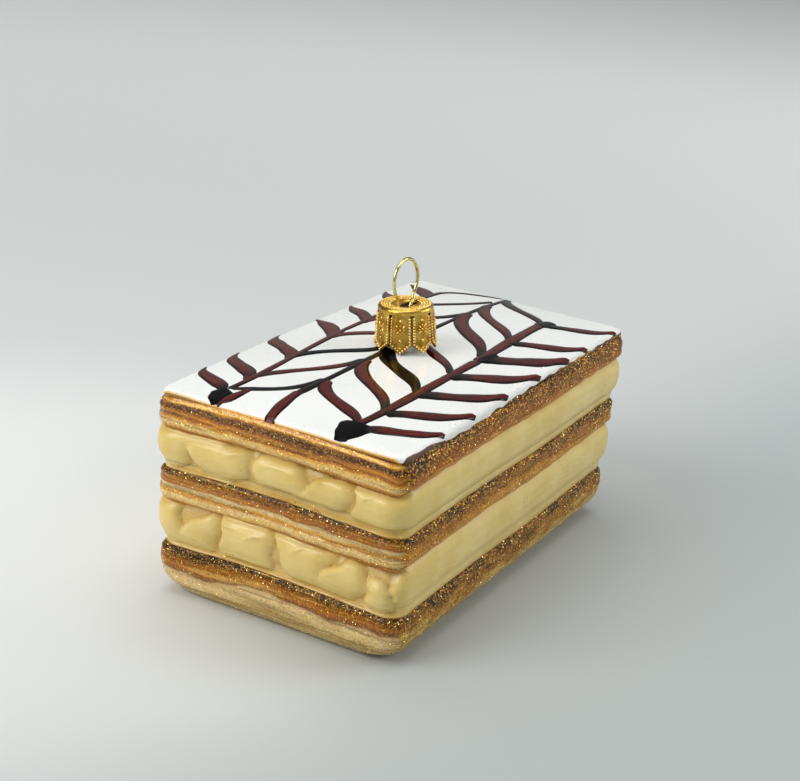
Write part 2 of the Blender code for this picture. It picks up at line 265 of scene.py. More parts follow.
# --- Edit-mode work -------------------------------------------------------------------------
class Bench:
    """Blender's tools, used on one piece at a time."""

    @staticmethod
    def clear() -> None:
        """Leaves edit mode and deselects everything."""
        if bpy.context.mode != "OBJECT":
            bpy.ops.object.mode_set(mode="OBJECT")
        bpy.ops.object.select_all(action="DESELECT")

    @staticmethod
    def pick(*pieces: bpy.types.Object) -> None:
        """Selects these pieces only, and makes the first one active."""
        Bench.clear()
        for piece in pieces:
            piece.select_set(True)
        bpy.context.view_layer.objects.active = pieces[0]

    @staticmethod
    def open(piece: bpy.types.Object) -> None:
        """Takes a piece into edit mode."""
        Bench.pick(piece)
        bpy.ops.object.mode_set(mode="EDIT")

    @staticmethod
    def select(piece: bpy.types.Object, kind: Kind, test: Callable[..., bool]) -> None:
        """Selects the points, edges or faces of a piece in edit mode that pass a test."""
        bpy.ops.mesh.select_all(action="DESELECT")
        bpy.ops.mesh.select_mode(type=kind.value)
        form = bmesh.from_edit_mesh(piece.data)
        items = {Kind.POINTS: form.verts, Kind.EDGES: form.edges, Kind.FACES: form.faces}[kind]
        for item in items:
            if test(item):
                item.select_set(True)
        bmesh.update_edit_mesh(piece.data)

    @staticmethod
    def name(title: str) -> bpy.types.Object:
        """Names the primitive that was just added, and settles its place into its mesh."""
        piece = bpy.context.active_object
        piece.name = piece.data.name = title
        bpy.ops.object.transform_apply(location=True, rotation=True, scale=True)
        return piece

    @staticmethod
    def apply(piece: bpy.types.Object, kind: str, **settings: object) -> None:
        """Adds a modifier with its settings and applies it."""
        Bench.pick(piece)
        modifier = piece.modifiers.new(kind.lower(), kind)
        for key, value in settings.items():
            setattr(modifier, key, value)
        bpy.ops.object.modifier_apply(modifier=modifier.name)

    @staticmethod
    def points(piece: bpy.types.Object) -> np.ndarray:
        """A piece's points as rows of x, y, z."""
        flat = np.empty(len(piece.data.vertices) * 3)
        piece.data.vertices.foreach_get("co", flat)
        return flat.reshape(-1, 3)

    @staticmethod
    def press(piece: bpy.types.Object, moves: np.ndarray) -> None:
        """Moves each point by its own amount, with weighted Displace modifiers along each axis.

        Args:
            piece: The piece to shape.
            moves: A row of x, y, z for each point, in metres.
        """
        for axis, column in zip("XYZ", moves.T):
            reach = float(np.abs(column).max())
            if reach < 1e-9:
                continue
            group = piece.vertex_groups.new(name=f"press_{axis}")
            for index, weight in enumerate(0.5 + 0.5 * column / reach):
                group.add((index,), float(weight), "REPLACE")
            Bench.apply(
                piece,
                "DISPLACE",
                direction=axis,
                vertex_group=group.name,
                strength=2 * reach,
                mid_level=0.0,
            )
            Bench.apply(piece, "DISPLACE", direction=axis, strength=-reach, mid_level=0.0)
            piece.vertex_groups.clear()

    @staticmethod
    def note(piece: bpy.types.Object, name: str, values: np.ndarray) -> None:
        """Writes a number for each point under a name that a material can read."""
        made = piece.data.attributes.new(name, "FLOAT", "POINT")
        made.data.foreach_set("value", np.ascontiguousarray(values, np.float32))

    @staticmethod
    def smooth(piece: bpy.types.Object, crease: float = 40.0) -> None:
        """Smooth shading, with creases sharper than an angle in degrees kept."""
        Bench.pick(piece)
        bpy.ops.object.shade_smooth_by_angle(angle=math.radians(crease))

    @staticmethod
    def outward(piece: bpy.types.Object) -> None:
        """Turns all of a closed piece's faces outwards."""
        Bench.open(piece)
        bpy.ops.mesh.select_all(action="SELECT")
        bpy.ops.mesh.normals_make_consistent(inside=False)
        Bench.clear()

    @staticmethod
    def copy(piece: bpy.types.Object, matrix: Matrix) -> bpy.types.Object:
        """A copy of a piece with its own mesh, moved by a matrix."""
        twin = piece.copy()
        twin.data = piece.data.copy()
        twin.data.transform(matrix)
        bpy.context.scene.collection.objects.link(twin)
        return twin

    @staticmethod
    def join(title: str, pieces: Sequence[bpy.types.Object]) -> bpy.types.Object:
        """Joins pieces into one and names it."""
        Bench.pick(*pieces)
        bpy.ops.object.join()
        pieces[0].name = pieces[0].data.name = title
        return pieces[0]

    @staticmethod
    def finish(
        piece: bpy.types.Object, material: bpy.types.Material, slot: Slot, *nodes: str
    ) -> bpy.types.Object:
        """Gives a piece its material and its body, logs its slot and hides the CAD nodes that it stands for."""
        piece.data.materials.clear()
        piece.data.materials.append(material)
        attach(piece, BODY)
        if nodes:
            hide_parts(*nodes)
        faces = len(piece.data.polygons)
        LOG.info("%s: %d faces, slot %s", piece.name, faces, slot.value)
        return piece


def eased(value: np.ndarray, low: float, high: float) -> np.ndarray:
    """A soft step from 0 at low to 1 at high."""
    share = np.clip((value - low) / (high - low), 0, 1)
    return share * share * (3 - 2 * share)


def ripple(turn: np.ndarray, seed: int, low: int, high: int, count: int = 5) -> np.ndarray:
    """A seeded wander between about -1 and 1 that closes on itself round the slice.

    Args:
        turn: How far round the slice each point is, as an angle.
        seed: Which wander.
        low: The fewest waves round the slice.
        high: The most waves round the slice.
        count: How many waves are added up.

    Returns:
        The wander at each point.
    """
    draw = np.random.default_rng(seed)
    total = np.zeros_like(turn)
    for waves in draw.integers(low, high, count):
        total += np.sin(waves * turn + draw.uniform(0, 2 * math.pi))
    return total / math.sqrt(count)


# --- The slice's form -----------------------------------------------------------------------
Ring = tuple[float, float, float, float]


@dataclass(frozen=True)
class SliceForm:
    """The moulded slice's main sizes, which every layer shares."""

    half_length: float = 0.0482
    half_width: float = 0.0253
    end_draft: float = 0.086
    icing_edge: float = 0.0401
    shoulder: float = 0.0010
    arch: float = 0.0004
    dome: float = 0.0014
    corner: float = 0.0032
    groove_wave: float = 0.00045

    @property
    def crown(self) -> float:
        """The height of the icing's middle."""
        return self.icing_edge + self.shoulder + self.arch + self.dome

    def wave(self, x: np.ndarray, y: np.ndarray) -> np.ndarray:
        """How far the grooves between the layers wander up and down."""
        along, across = x / self.half_length, y / self.half_width
        return self.groove_wave * np.sin(2.6 * across + 1.9 * along) * np.cos(3.1 * along)

    def icing_height(self, x: np.ndarray, y: np.ndarray) -> np.ndarray:
        """The height of the icing's top, inside its rounded shoulder."""
        along, across = np.abs(x) / self.half_length, np.abs(y) / self.half_width
        along, across = np.minimum(along, 1.0), np.minimum(across, 1.0)
        rise = self.dome * (1 - along**4) * (1 - across**3)
        return self.icing_edge + self.shoulder + self.arch * (1 - along**2) + rise


FORM = SliceForm()


@dataclass
class Wall:
    """Where each point of a layer's side wall is, in the slice's own terms."""

    x: np.ndarray
    y: np.ndarray
    height: np.ndarray
    corner: float = FORM.corner
    normal: np.ndarray = field(init=False)
    turn: np.ndarray = field(init=False)
    on_end: np.ndarray = field(init=False)
    share: np.ndarray = field(init=False)

    def __post_init__(self) -> None:
        """Works out the outward normals and the way round the slice."""
        straight_x, straight_y = self.straights()
        core_x = np.clip(self.x, -straight_x, straight_x)
        core_y = np.clip(self.y, -straight_y, straight_y)
        away = np.stack((self.x - core_x, self.y - core_y), axis=1)
        self.normal = away / np.maximum(np.linalg.norm(away, axis=1), 1e-9)[:, None]
        quarter = 0.5 * math.pi
        angle = np.arctan2(self.normal[:, 1], self.normal[:, 0])
        swing = np.mod(angle - 1.5 * quarter, 4 * quarter)
        face = np.minimum((swing / quarter).astype(int), 3)
        runs = np.stack(
            (
                straight_y - core_y,
                2 * straight_y + core_x + straight_x,
                2 * straight_y + 2 * straight_x + core_y + straight_y,
                4 * straight_y + 2 * straight_x + straight_x - core_x,
            )
        )
        run = runs[face, np.arange(len(face))] + self.corner * (swing - 0.5 * quarter)
        around = 4 * (straight_x + straight_y) + 2 * math.pi * self.corner
        self.turn = 2 * math.pi * run / around
        self.on_end = eased(np.abs(self.normal[:, 0]), 0.30, 0.85)
        self.share = 0.5 + np.copysign(0.5, self.x) * self.y / FORM.half_width

    def straights(self) -> tuple[float, float]:
        """Half the straight part of the length and of the width."""
        return FORM.half_length - self.corner, FORM.half_width - self.corner


@dataclass
class Layer:
    """One band of the slice: a rounded slab whose wall swells between two grooves."""

    name: str
    bottom: float
    thickness: float
    seed: int
    rings: tuple[Ring, ...]
    rows: int = 24
    length_cuts: int = 150
    width_cuts: int = 96
    corner_cuts: int = 8
    row_crowding: float = 0.07
    tucked_bottom: bool = True
    bottom_side_lift: float = 0.0
    top_side_lift: float = 0.0

    def block(self) -> bpy.types.Object:
        """The slab before it is shaped, with an even grid of faces on its walls."""
        bpy.ops.mesh.primitive_cube_add(
            size=1.0,
            location=(0.0, 0.0, self.bottom + 0.5 * self.thickness),
            scale=(2 * FORM.half_length, 2 * FORM.half_width, self.thickness),
        )
        piece = Bench.name(self.name)
        Bench.open(piece)
        Bench.select(piece, Kind.EDGES, lambda e: self.spans(e, 2, self.thickness))
        bpy.ops.mesh.bevel(offset=FORM.corner, segments=self.corner_cuts, affect="EDGES")
        Bench.select(piece, Kind.EDGES, lambda e: self.spans(e, 0, FORM.half_length))
        bpy.ops.mesh.subdivide(number_cuts=self.length_cuts)
        Bench.select(piece, Kind.EDGES, lambda e: self.spans(e, 1, FORM.half_width))
        bpy.ops.mesh.subdivide(number_cuts=self.width_cuts)
        Bench.select(piece, Kind.EDGES, lambda e: self.spans(e, 2, self.thickness))
        bpy.ops.mesh.subdivide(number_cuts=self.rows - 1)
        Bench.clear()
        return piece

    @staticmethod
    def spans(edge: bmesh.types.BMEdge, axis: int, length: float) -> bool:
        """Whether an edge runs along an axis for at least nearly a length."""
        return abs(edge.verts[1].co[axis] - edge.verts[0].co[axis]) > 0.95 * length

    def read(self, at: np.ndarray, column: int) -> np.ndarray:
        """One column of the ring table at the given heights, with its corners rounded off."""
        shares = [ring[0] for ring in self.rings]
        values = [ring[column] for ring in self.rings]
        taps = [np.interp(np.clip(at + 0.02 * k, 0, 1), shares, values) for k in range(-2, 3)]
        return sum(taps) / len(taps)

    def relief(self, wall: Wall) -> np.ndarray:
        """How far the wall stands out past its ring table, for each point."""
        return np.zeros_like(wall.height)

    def wander(self, wall: Wall) -> np.ndarray:
        """How far the layer's own bands wander up and down, as a share of its thickness."""
        return np.zeros_like(wall.height)

    def notes(self, wall: Wall) -> dict[str, np.ndarray]:
        """The numbers that the layer's material and the glitter read."""
        return {"rise": wall.height + self.wander(wall), "on_end": wall.on_end}

    def build(self) -> bpy.types.Object:
        """Shapes the slab and returns it."""
        piece = self.block()
        places = Bench.points(piece)
        height = (places[:, 2] - self.bottom) / self.thickness
        wall = Wall(places[:, 0], places[:, 1], height)
        wall.height = height - self.row_crowding * np.sin(2 * math.pi * height)
        end_swell, side_swell, corner = (self.read(wall.height, column) for column in (1, 2, 3))
        level = self.bottom + wall.height * self.thickness
        half_length = FORM.half_length - FORM.end_draft * (FORM.icing_edge - level) + end_swell
        half_width = FORM.half_width + side_swell
        straight_x, straight_y = wall.straights()
        core_x = np.clip(wall.x, -straight_x, straight_x) / straight_x * (half_length - corner)
        core_y = np.clip(wall.y, -straight_y, straight_y) / straight_y * (half_width - corner)
        out = corner + self.relief(wall)
        target = np.stack(
            (
                core_x + out * wall.normal[:, 0],
                core_y + out * wall.normal[:, 1],
                level + self.rolling(wall),
            ),
            axis=1,
        )
        Bench.press(piece, target - places)
        for name, values in self.notes(wall).items():
            Bench.note(piece, name, values)
        self.tuck(piece)
        Bench.smooth(piece)
        return piece

    def rolling(self, wall: Wall) -> np.ndarray:
        """How far each point moves up with the grooves' wander and the long sides' lift."""
        height = wall.height
        wave = FORM.wave(wall.x, wall.y) * (0.5 + 0.5 * np.abs(2 * height - 1) ** 3)
        if not self.tucked_bottom:
            wave *= eased(height, 0.15, 0.85)
        lift = self.bottom_side_lift * (1 - height) + self.top_side_lift * height
        return wave + lift * (1 - wall.on_end)

    def tuck(self, piece: bpy.types.Object) -> None:
        """Steps the hidden top and bottom in, so that two layers don't share a plane."""
        Bench.open(piece)
        for sign in (1.0, -1.0):
            if sign < 0 and not self.tucked_bottom:
                continue
            Bench.select(
                piece,
                Kind.FACES,
                lambda f, s=sign: len(f.verts) > 40 and f.normal.z * s > 0.5,
            )
            bpy.ops.mesh.extrude_region_move()
            bpy.ops.transform.resize(value=(0.97, 0.94, 0.2))
            bpy.ops.transform.translate(value=(0.0, 0.0, -0.0004 * sign))
        Bench.clear()


@dataclass
class Pastry(Layer):
    """A band of laminated pastry: soft ridges that wander along its faces."""

    ridges: tuple[tuple[float, float, float], ...] = (
        (0.88, 0.10, 0.00022),
        (0.62, 0.13, 0.00034),
        (0.24, 0.20, 0.00040),
    )
    sink: float = 0.00036
    side_share: float = 0.45
    glitter_bands: tuple[tuple[float, float, float], ...] = ((0.86, 0.14, 1.1), (0.24, 0.2, 0.7))

    def wander(self, wall: Wall) -> np.ndarray:
        """The laminations' slow wander and a finer one."""
        slow = ripple(wall.turn, self.seed, 5, 14)
        fine = ripple(wall.turn, self.seed + 1, 24, 60)
        middle = np.clip(4 * wall.height * (1 - wall.height), 0, 1)
        wave = (0.060 * slow + 0.022 * fine) * (0.35 + 0.65 * middle)
        return wave * (0.45 + 0.55 * wall.on_end)

    def relief(self, wall: Wall) -> np.ndarray:
        """Ridges and the hollows between them, with small dents."""
        at = wall.height + self.wander(wall)
        total = -self.sink * np.clip(6 * wall.height * (1 - wall.height), 0, 1)
        for middle, half, stand in self.ridges:
            swell = 1 + 0.25 * ripple(wall.turn, self.seed + int(100 * middle), 9, 30)
            total += stand * swell * np.exp(-(((at - middle) / half) ** 2) * 1.4)
        dents = ripple(wall.turn + 0.35 * wall.height, self.seed + 7, 60, 130)
        total += 0.00005 * dents
        return total * (self.side_share + (1 - self.side_share) * wall.on_end)

    def notes(self, wall: Wall) -> dict[str, np.ndarray]:
        """The lamination height, the end mask and the glitter's density."""
        found = super().notes(wall)
        at = found["rise"]
        on_ends = np.full_like(at, 0.45)
        for middle, half, share in self.glitter_bands:
            on_ends += share * np.exp(-(((at - middle) / half) ** 2))
        on_sides = 0.85 + 0.3 * ripple(wall.turn, self.seed + 3, 12, 50)
        spread = np.clip(on_sides + (on_ends - on_sides) * wall.on_end, 0, 1.2)
        found["glitter"] = spread * eased(wall.height, 0.03, 0.08)
        return found


@dataclass(frozen=True)
class Lobe:
    """A mound of piped cream on an end face.

    The places are shares of the band's width and height; the softness is in metres. A lean is
    how far an edge moves across for a climb of the whole height.
    """

    left: float
    right: float
    foot: float = 0.20
    top: float = 0.92
    left_lean: float = 0.0
    right_lean: float = 0.0
    left_soft: float = 0.0009
    right_soft: float = 0.0028
    foot_soft: float = 0.0014
    top_soft: float = 0.0022
    plump: float = 1.0

    def fullness(self, share: np.ndarray, height: np.ndarray, thickness: float) -> np.ndarray:
        """How full the mound is at each point, from 0 outside it to about 1 on its crown."""
        width, middle = 2 * FORM.half_width, height - 0.5
        inside = (
            ((share - self.left - self.left_lean * middle) * width, self.left_soft),
            ((self.right + self.right_lean * middle - share) * width, self.right_soft),
            ((height - self.foot) * thickness, self.foot_soft),
            ((self.top - height) * thickness, self.top_soft),
        )
        squeeze = np.zeros_like(share)
        for distance, softness in inside:
            squeeze += np.clip(1 - distance / softness, 0, 1) ** 2
        across = (share - 0.5 * (self.left + self.right)) / (self.right - self.left)
        up = (height - 0.5 * (self.foot + self.top)) / (self.top - self.foot)
        pillow = 1.05 - 0.3 * np.minimum(across, 0) ** 2 - 1.3 * np.maximum(across, 0) ** 2
        pillow -= 0.7 * (up - 0.1) ** 2
        return np.sqrt(np.clip(1 - squeeze, 0, 1)) * self.plump * np.clip(pillow, 0.3, 1.1)


@dataclass(frozen=True)
class Tuck:
    """A small raised fold that the piping left near the top of a mound."""

    share: float
    height: float
    length: float = 0.0016
    lean: float = 0.35
    stand: float = 0.00032

    def rise(self, share: np.ndarray, height: np.ndarray, thickness: float) -> np.ndarray:
        """How far the fold stands out at each point."""
        across = (share - self.share) * 2 * FORM.half_width
        up = (height - self.height) * thickness
        along = across * math.cos(self.lean) + up * math.sin(self.lean)
        aside = up * math.cos(self.lean) - across * math.sin(self.lean)
        aside += 90.0 * along**2
        return self.stand * np.exp(-((along / self.length) ** 2) - (aside / 0.00028) ** 2)


@dataclass
class Cream(Layer):
    """A band of pastry cream: smooth on the long sides, piped lobes on the ends."""

    lobes: tuple[Lobe, ...] = ()
    tucks: tuple[Tuck, ...] = ()
    lobe_depth: float = 0.0019
    shallow: float = 0.22
    foot_bulge: float = 0.0008
    foot: float = 0.20
    side_line: float = 0.00016

    def fullness(self, wall: Wall) -> np.ndarray:
        """How full the lobes are at each point: 1 on a crown, 0 in the deepest valley."""
        full = np.full_like(wall.height, self.shallow)
        bend = 0.012 * np.sin(7.0 * wall.height + 23.0 * wall.share)
        for lobe in self.lobes:
            full = np.maximum(full, lobe.fullness(wall.share + bend, wall.height, self.thickness))
        return np.clip(full, 0, 1.08)

    def relief(self, wall: Wall) -> np.ndarray:
        """Lobes on the ends, a faint groove above the foot, and slow brush waves."""
        above = eased(wall.height, 0.02, 0.10)
        under = 1 - eased(wall.height, 0.95, 1.0)
        ledge = 1 - 0.30 * (1 - eased(wall.height, 0.10, 0.30))
        lobes = -self.lobe_depth * (1 - self.fullness(wall)) * above * under * ledge
        full_foot = self.fullness(wall) * (1 - eased(wall.height, 0.10, 0.40))
        lobes += self.foot_bulge * full_foot * eased(wall.height, 0.0, 0.07)
        for tuck in self.tucks:
            lobes += tuck.rise(wall.share, wall.height, self.thickness)
        groove = -self.side_line * np.exp(-(((wall.height - self.foot) / 0.03) ** 2))
        groove *= 1 - wall.on_end
        waves = 0.00003 * ripple(wall.turn + 0.25 * wall.height, self.seed + 2, 8, 34)
        return lobes * wall.on_end + groove + waves

    def notes(self, wall: Wall) -> dict[str, np.ndarray]:
        """The height, the end mask, the depth of the valleys and the glitter's density."""
        wander = (0.006 + 0.014 * wall.on_end) * ripple(wall.turn, self.seed + 4, 14, 60)
        foot = 1 - eased(wall.height + wander, 0.06, 0.16 + 0.10 * wall.on_end)
        bare = 1 - self.fullness(wall)
        return {
            "rise": wall.height + wander,
            "on_end": wall.on_end,
            # the depth of the valleys, which the enamel darkens as painted shade
            "hollow": bare * wall.on_end,
            "glitter": 0.003 + foot * (0.10 + 0.08 * wall.on_end * bare),
        }


# --- Finishes of the glass body -------------------------------------------------------------
@dataclass(frozen=True)
class PastryLacquer:
    """Amber and brown lacquer with champagne bands, under fine glitter, and painted highlight streaks on the
    ends.
    """

    name: str
    end_stops: Stops
    side_stops: Stops
    flake: Colour = tone(206, 138, 36)
    pale_flake: Colour = tone(242, 184, 70)
    dusk: Colour = tone(46, 20, 4)
    # painted highlight: the colour laid on the streaks' crests on the ends
    painted_highlight: Colour = tone(255, 208, 108)
    glossy_to: float = 2.0

    def make(self) -> bpy.types.Material:
        """Builds the material."""
        paint = Paint(self.name, Specular_IOR_Level=0.22, Coat_Roughness=0.08)
        place = paint.place()
        rise, on_end = paint.attribute("rise"), paint.attribute("on_end")
        level = paint.part(place, "Z")
        flow = paint.vector(
            paint.part(place, "X") * 55.0, paint.part(place, "Y") * 55.0, level * 1250.0
        )
        streak = paint.noise(flow, 1.0, 3.0)
        broad = paint.noise(paint.stretch(place, (80.0, 80.0, 240.0)), 1.0, 2.0)
        shifted = rise + (streak - 0.5) * 0.13 + (broad - 0.5) * 0.22
        ends = paint.ramp(shifted, self.end_stops)
        patch = paint.noise(paint.stretch(place, (130.0, 130.0, 420.0)), 1.0, 4.0, 0.62)
        sides = paint.ramp(shifted + (patch - 0.5) * 1.25, self.side_stops)
        base = paint.mix(on_end, sides, ends)
        base = paint.mix(streak.rise(0.50, 0.36) * 0.46, base, self.dusk)
        # Painted highlight: the crests of the streaks on the ends are lightened, standing in for light caught on
        # the glossy lacquer.
        base = paint.mix(streak.rise(0.57, 0.70) * on_end * 0.40, base, self.painted_highlight)
        pick = paint.cells(place, 3300.0, "Color")
        chance, warmth = paint.part(pick, "X"), paint.part(pick, "Y")
        bare = 1.0 - on_end * 0.55
        sparkle = chance.rise(0.64, 0.82) * bare
        flakes = paint.mix(warmth.rise(0.3, 0.8), self.flake, self.pale_flake)
        colour = paint.mix(sparkle * 0.70, base, flakes)
        colour = paint.mix(chance.rise(0.26, 0.04) * bare * 0.60, colour, self.dusk)
        normal = paint.bump(streak * 0.7 + patch * 0.3, 0.00042)
        grain = paint.part(pick, "Z") * bare
        normal = paint.bump(grain, 0.00012, normal)
        return paint.feed(
            Base_Color=colour,
            Roughness=0.18 + bare * 0.24,
            Metallic=sparkle * 0.6,
            Coat_Weight=on_end * rise.rise(self.glossy_to + 0.04, self.glossy_to - 0.06) * 0.55,
            Normal=normal,
        )


@dataclass(frozen=True)
class CreamEnamel:
    """Satin pale-yellow enamel with painted shade in the valleys, where paint also pooled, and along the groove
    at the foot, and amber that crept down over it.
    """

    name: str
    body: Colour = tone(228, 197, 112)
    light: Colour = tone(239, 212, 135)
    # painted shade in the valleys between the lobes, where paint also pooled
    deep: Colour = tone(198, 160, 84)
    amber: Colour = tone(176, 106, 22)
    speck: Colour = tone(60, 44, 22)
    # painted shade: the dark olive line along the groove at the foot
    line: Colour = tone(128, 108, 48)
    foot_shade_share: float = 0.40

    def make(self) -> bpy.types.Material:
        """Builds the material."""
        paint = Paint(self.name, Specular_IOR_Level=0.45, Coat_Roughness=0.22)
        place = paint.place()
        rise, on_end = paint.attribute("rise"), paint.attribute("on_end")
        hollow = paint.attribute("hollow")
        cloud = paint.noise(place, 130.0, 3.0)
        colour = paint.mix(cloud.rise(0.32, 0.70), self.body, self.light)
        # Painted shade: the valleys between the lobes are darkened toward the deep tone, partly for paint pooled
        # there.
        colour = paint.mix(hollow.rise(0.30, 0.80) * 0.50, colour, self.deep)
        # Painted shade: a dark olive line along the groove at the band's foot.
        foot = rise.rise(0.155, 0.195) * rise.rise(0.245, 0.205)
        colour = paint.mix(foot * self.foot_shade_share, colour, self.line)
        creep = paint.noise(paint.stretch(place, (140.0, 140.0, 60.0)), 1.0, 3.0)
        spill = (rise + (creep - 0.5) * 0.04).rise(0.972, 0.988)
        colour = paint.mix(spill * 0.85, colour, self.amber)
        grime = (rise + (creep - 0.5) * 0.06).rise(0.035, 0.012)
        colour = paint.mix(grime * 0.7, colour, self.amber)
        dots = paint.cells(place, 260.0, "Distance").rise(0.055, 0.035)
        chosen = paint.part(paint.cells(place, 260.0, "Color"), "X").rise(0.90, 0.92)
        colour = paint.mix(dots * chosen * 0.8, colour, self.speck)
        brush = paint.noise(paint.stretch(place, (220.0, 220.0, 700.0)), 1.0, 3.0)
        pits = paint.noise(place, 1500.0, 2.0)
        normal = paint.bump(brush * 0.75 + pits * 0.25, 0.00022)
        gloss = 0.34 + (brush - 0.5) * 0.16
        return paint.feed(
            Base_Color=colour,
            Roughness=gloss,
            Coat_Weight=0.12 + on_end * 0.13,
            Normal=normal,
        )


@dataclass(frozen=True)
class IcingEnamel:
    """White enamel, brushed on thickly, with lacquer crept over its rim, painted pale gold along the ends' rim
    as a highlight.
    """

    name: str
    white: Colour = tone(242, 243, 240)
    cool: Colour = tone(237, 239, 237)
    # amber lacquer on the ends' rim, painted pale as a highlight
    rim_lacquer_highlight: Colour = tone(232, 184, 96)
    rim_brown: Colour = tone(84, 42, 8)
    rim_amber: Colour = tone(186, 116, 34)

    def make(self) -> bpy.types.Material:
        """Builds the material."""
        paint = Paint(self.name, Specular_IOR_Level=0.3, Coat_Roughness=0.12)
        place = paint.place()
        inward, on_end = paint.attribute("inward"), paint.attribute("on_end")
        cloud = paint.noise(place, 90.0, 3.0)
        colour = paint.mix(cloud.rise(0.45, 0.75), self.white, self.cool)
        creep = paint.noise(place, 330.0, 4.0, 0.6)
        slow = paint.noise(place, 60.0, 2.0)
        edge = inward - (creep - 0.5) * 0.18 - (slow - 0.5) * 0.5
        # Amber lacquer over the ends' rim, painted pale gold as a highlight line as well.
        colour = paint.mix(edge.rise(0.36, 0.22) * on_end, colour, self.rim_lacquer_highlight)
        colour = paint.mix(edge.rise(0.20, 0.08) * 0.7 * on_end, colour, self.rim_brown)
        crept = (paint.attribute("iced") + (creep - 0.5) * 1.1).rise(0.22, -0.12)
        lacquer = paint.mix(slow.rise(0.44, 0.58), self.rim_brown, self.rim_amber)
        colour = paint.mix(crept * 0.95, colour, lacquer)
        brush = paint.noise(paint.stretch(place, (60.0, 260.0, 260.0)), 1.0, 3.0)
        lumps = paint.noise(place, 160.0, 2.0)
        normal = paint.bump(brush * 0.4 + lumps * 0.6, 0.00004)
        gloss = 0.28 + (lumps - 0.5) * 0.06
        return paint.feed(
            Base_Color=colour,
            Roughness=gloss + crept * 0.3,
            Coat_Weight=(0.30 + (cloud - 0.5) * 0.1) * (1.0 - crept),
            Normal=normal,
        )


@dataclass(frozen=True)
class ChocolateEnamel:
    """Translucent oxblood enamel that pooled nearly black along its outlines and joints."""

    name: str
    body: Colour = tone(84, 14, 12)
    thin: Colour = tone(122, 42, 30)
    pooled: Colour = tone(6, 3, 4)

    def make(self) -> bpy.types.Material:
        """Builds the material."""
        paint = Paint(self.name, Specular_IOR_Level=0.08, Coat_Roughness=0.06)
        place = paint.place()
        along, across = paint.attribute("along"), paint.attribute("across")
        pool = paint.attribute("pool")
        threads = paint.noise(paint.vector(along * 240.0, across * 3.4, pool * 0.0), 1.0, 3.0)
        wander = paint.noise(place, 260.0, 2.0)
        colour = paint.mix(threads.rise(0.50, 0.70), self.body, self.thin)
        edge = abs(across + (wander - 0.5) * 0.5) + (threads - 0.5) * 0.4
        outline = edge.rise(0.44, 0.76) * 0.94
        pooled = (pool + (wander - 0.5) * 0.9 + (threads - 0.5) * 0.8).rise(0.12, 0.72)
        dark = outline.most(pooled).most(threads.rise(0.36, 0.26) * 0.7)
        colour = paint.mix(dark, colour, self.pooled)
        normal = paint.bump(threads * 0.6 + wander * 0.4, 0.00010)
        return paint.feed(
            Base_Color=colour,
            Roughness=0.16 + (wander - 0.5) * 0.1,
            Coat_Weight=(0.12 + wander * 0.40) * pool.rise(1.1, 0.6),
            Normal=normal,
        )


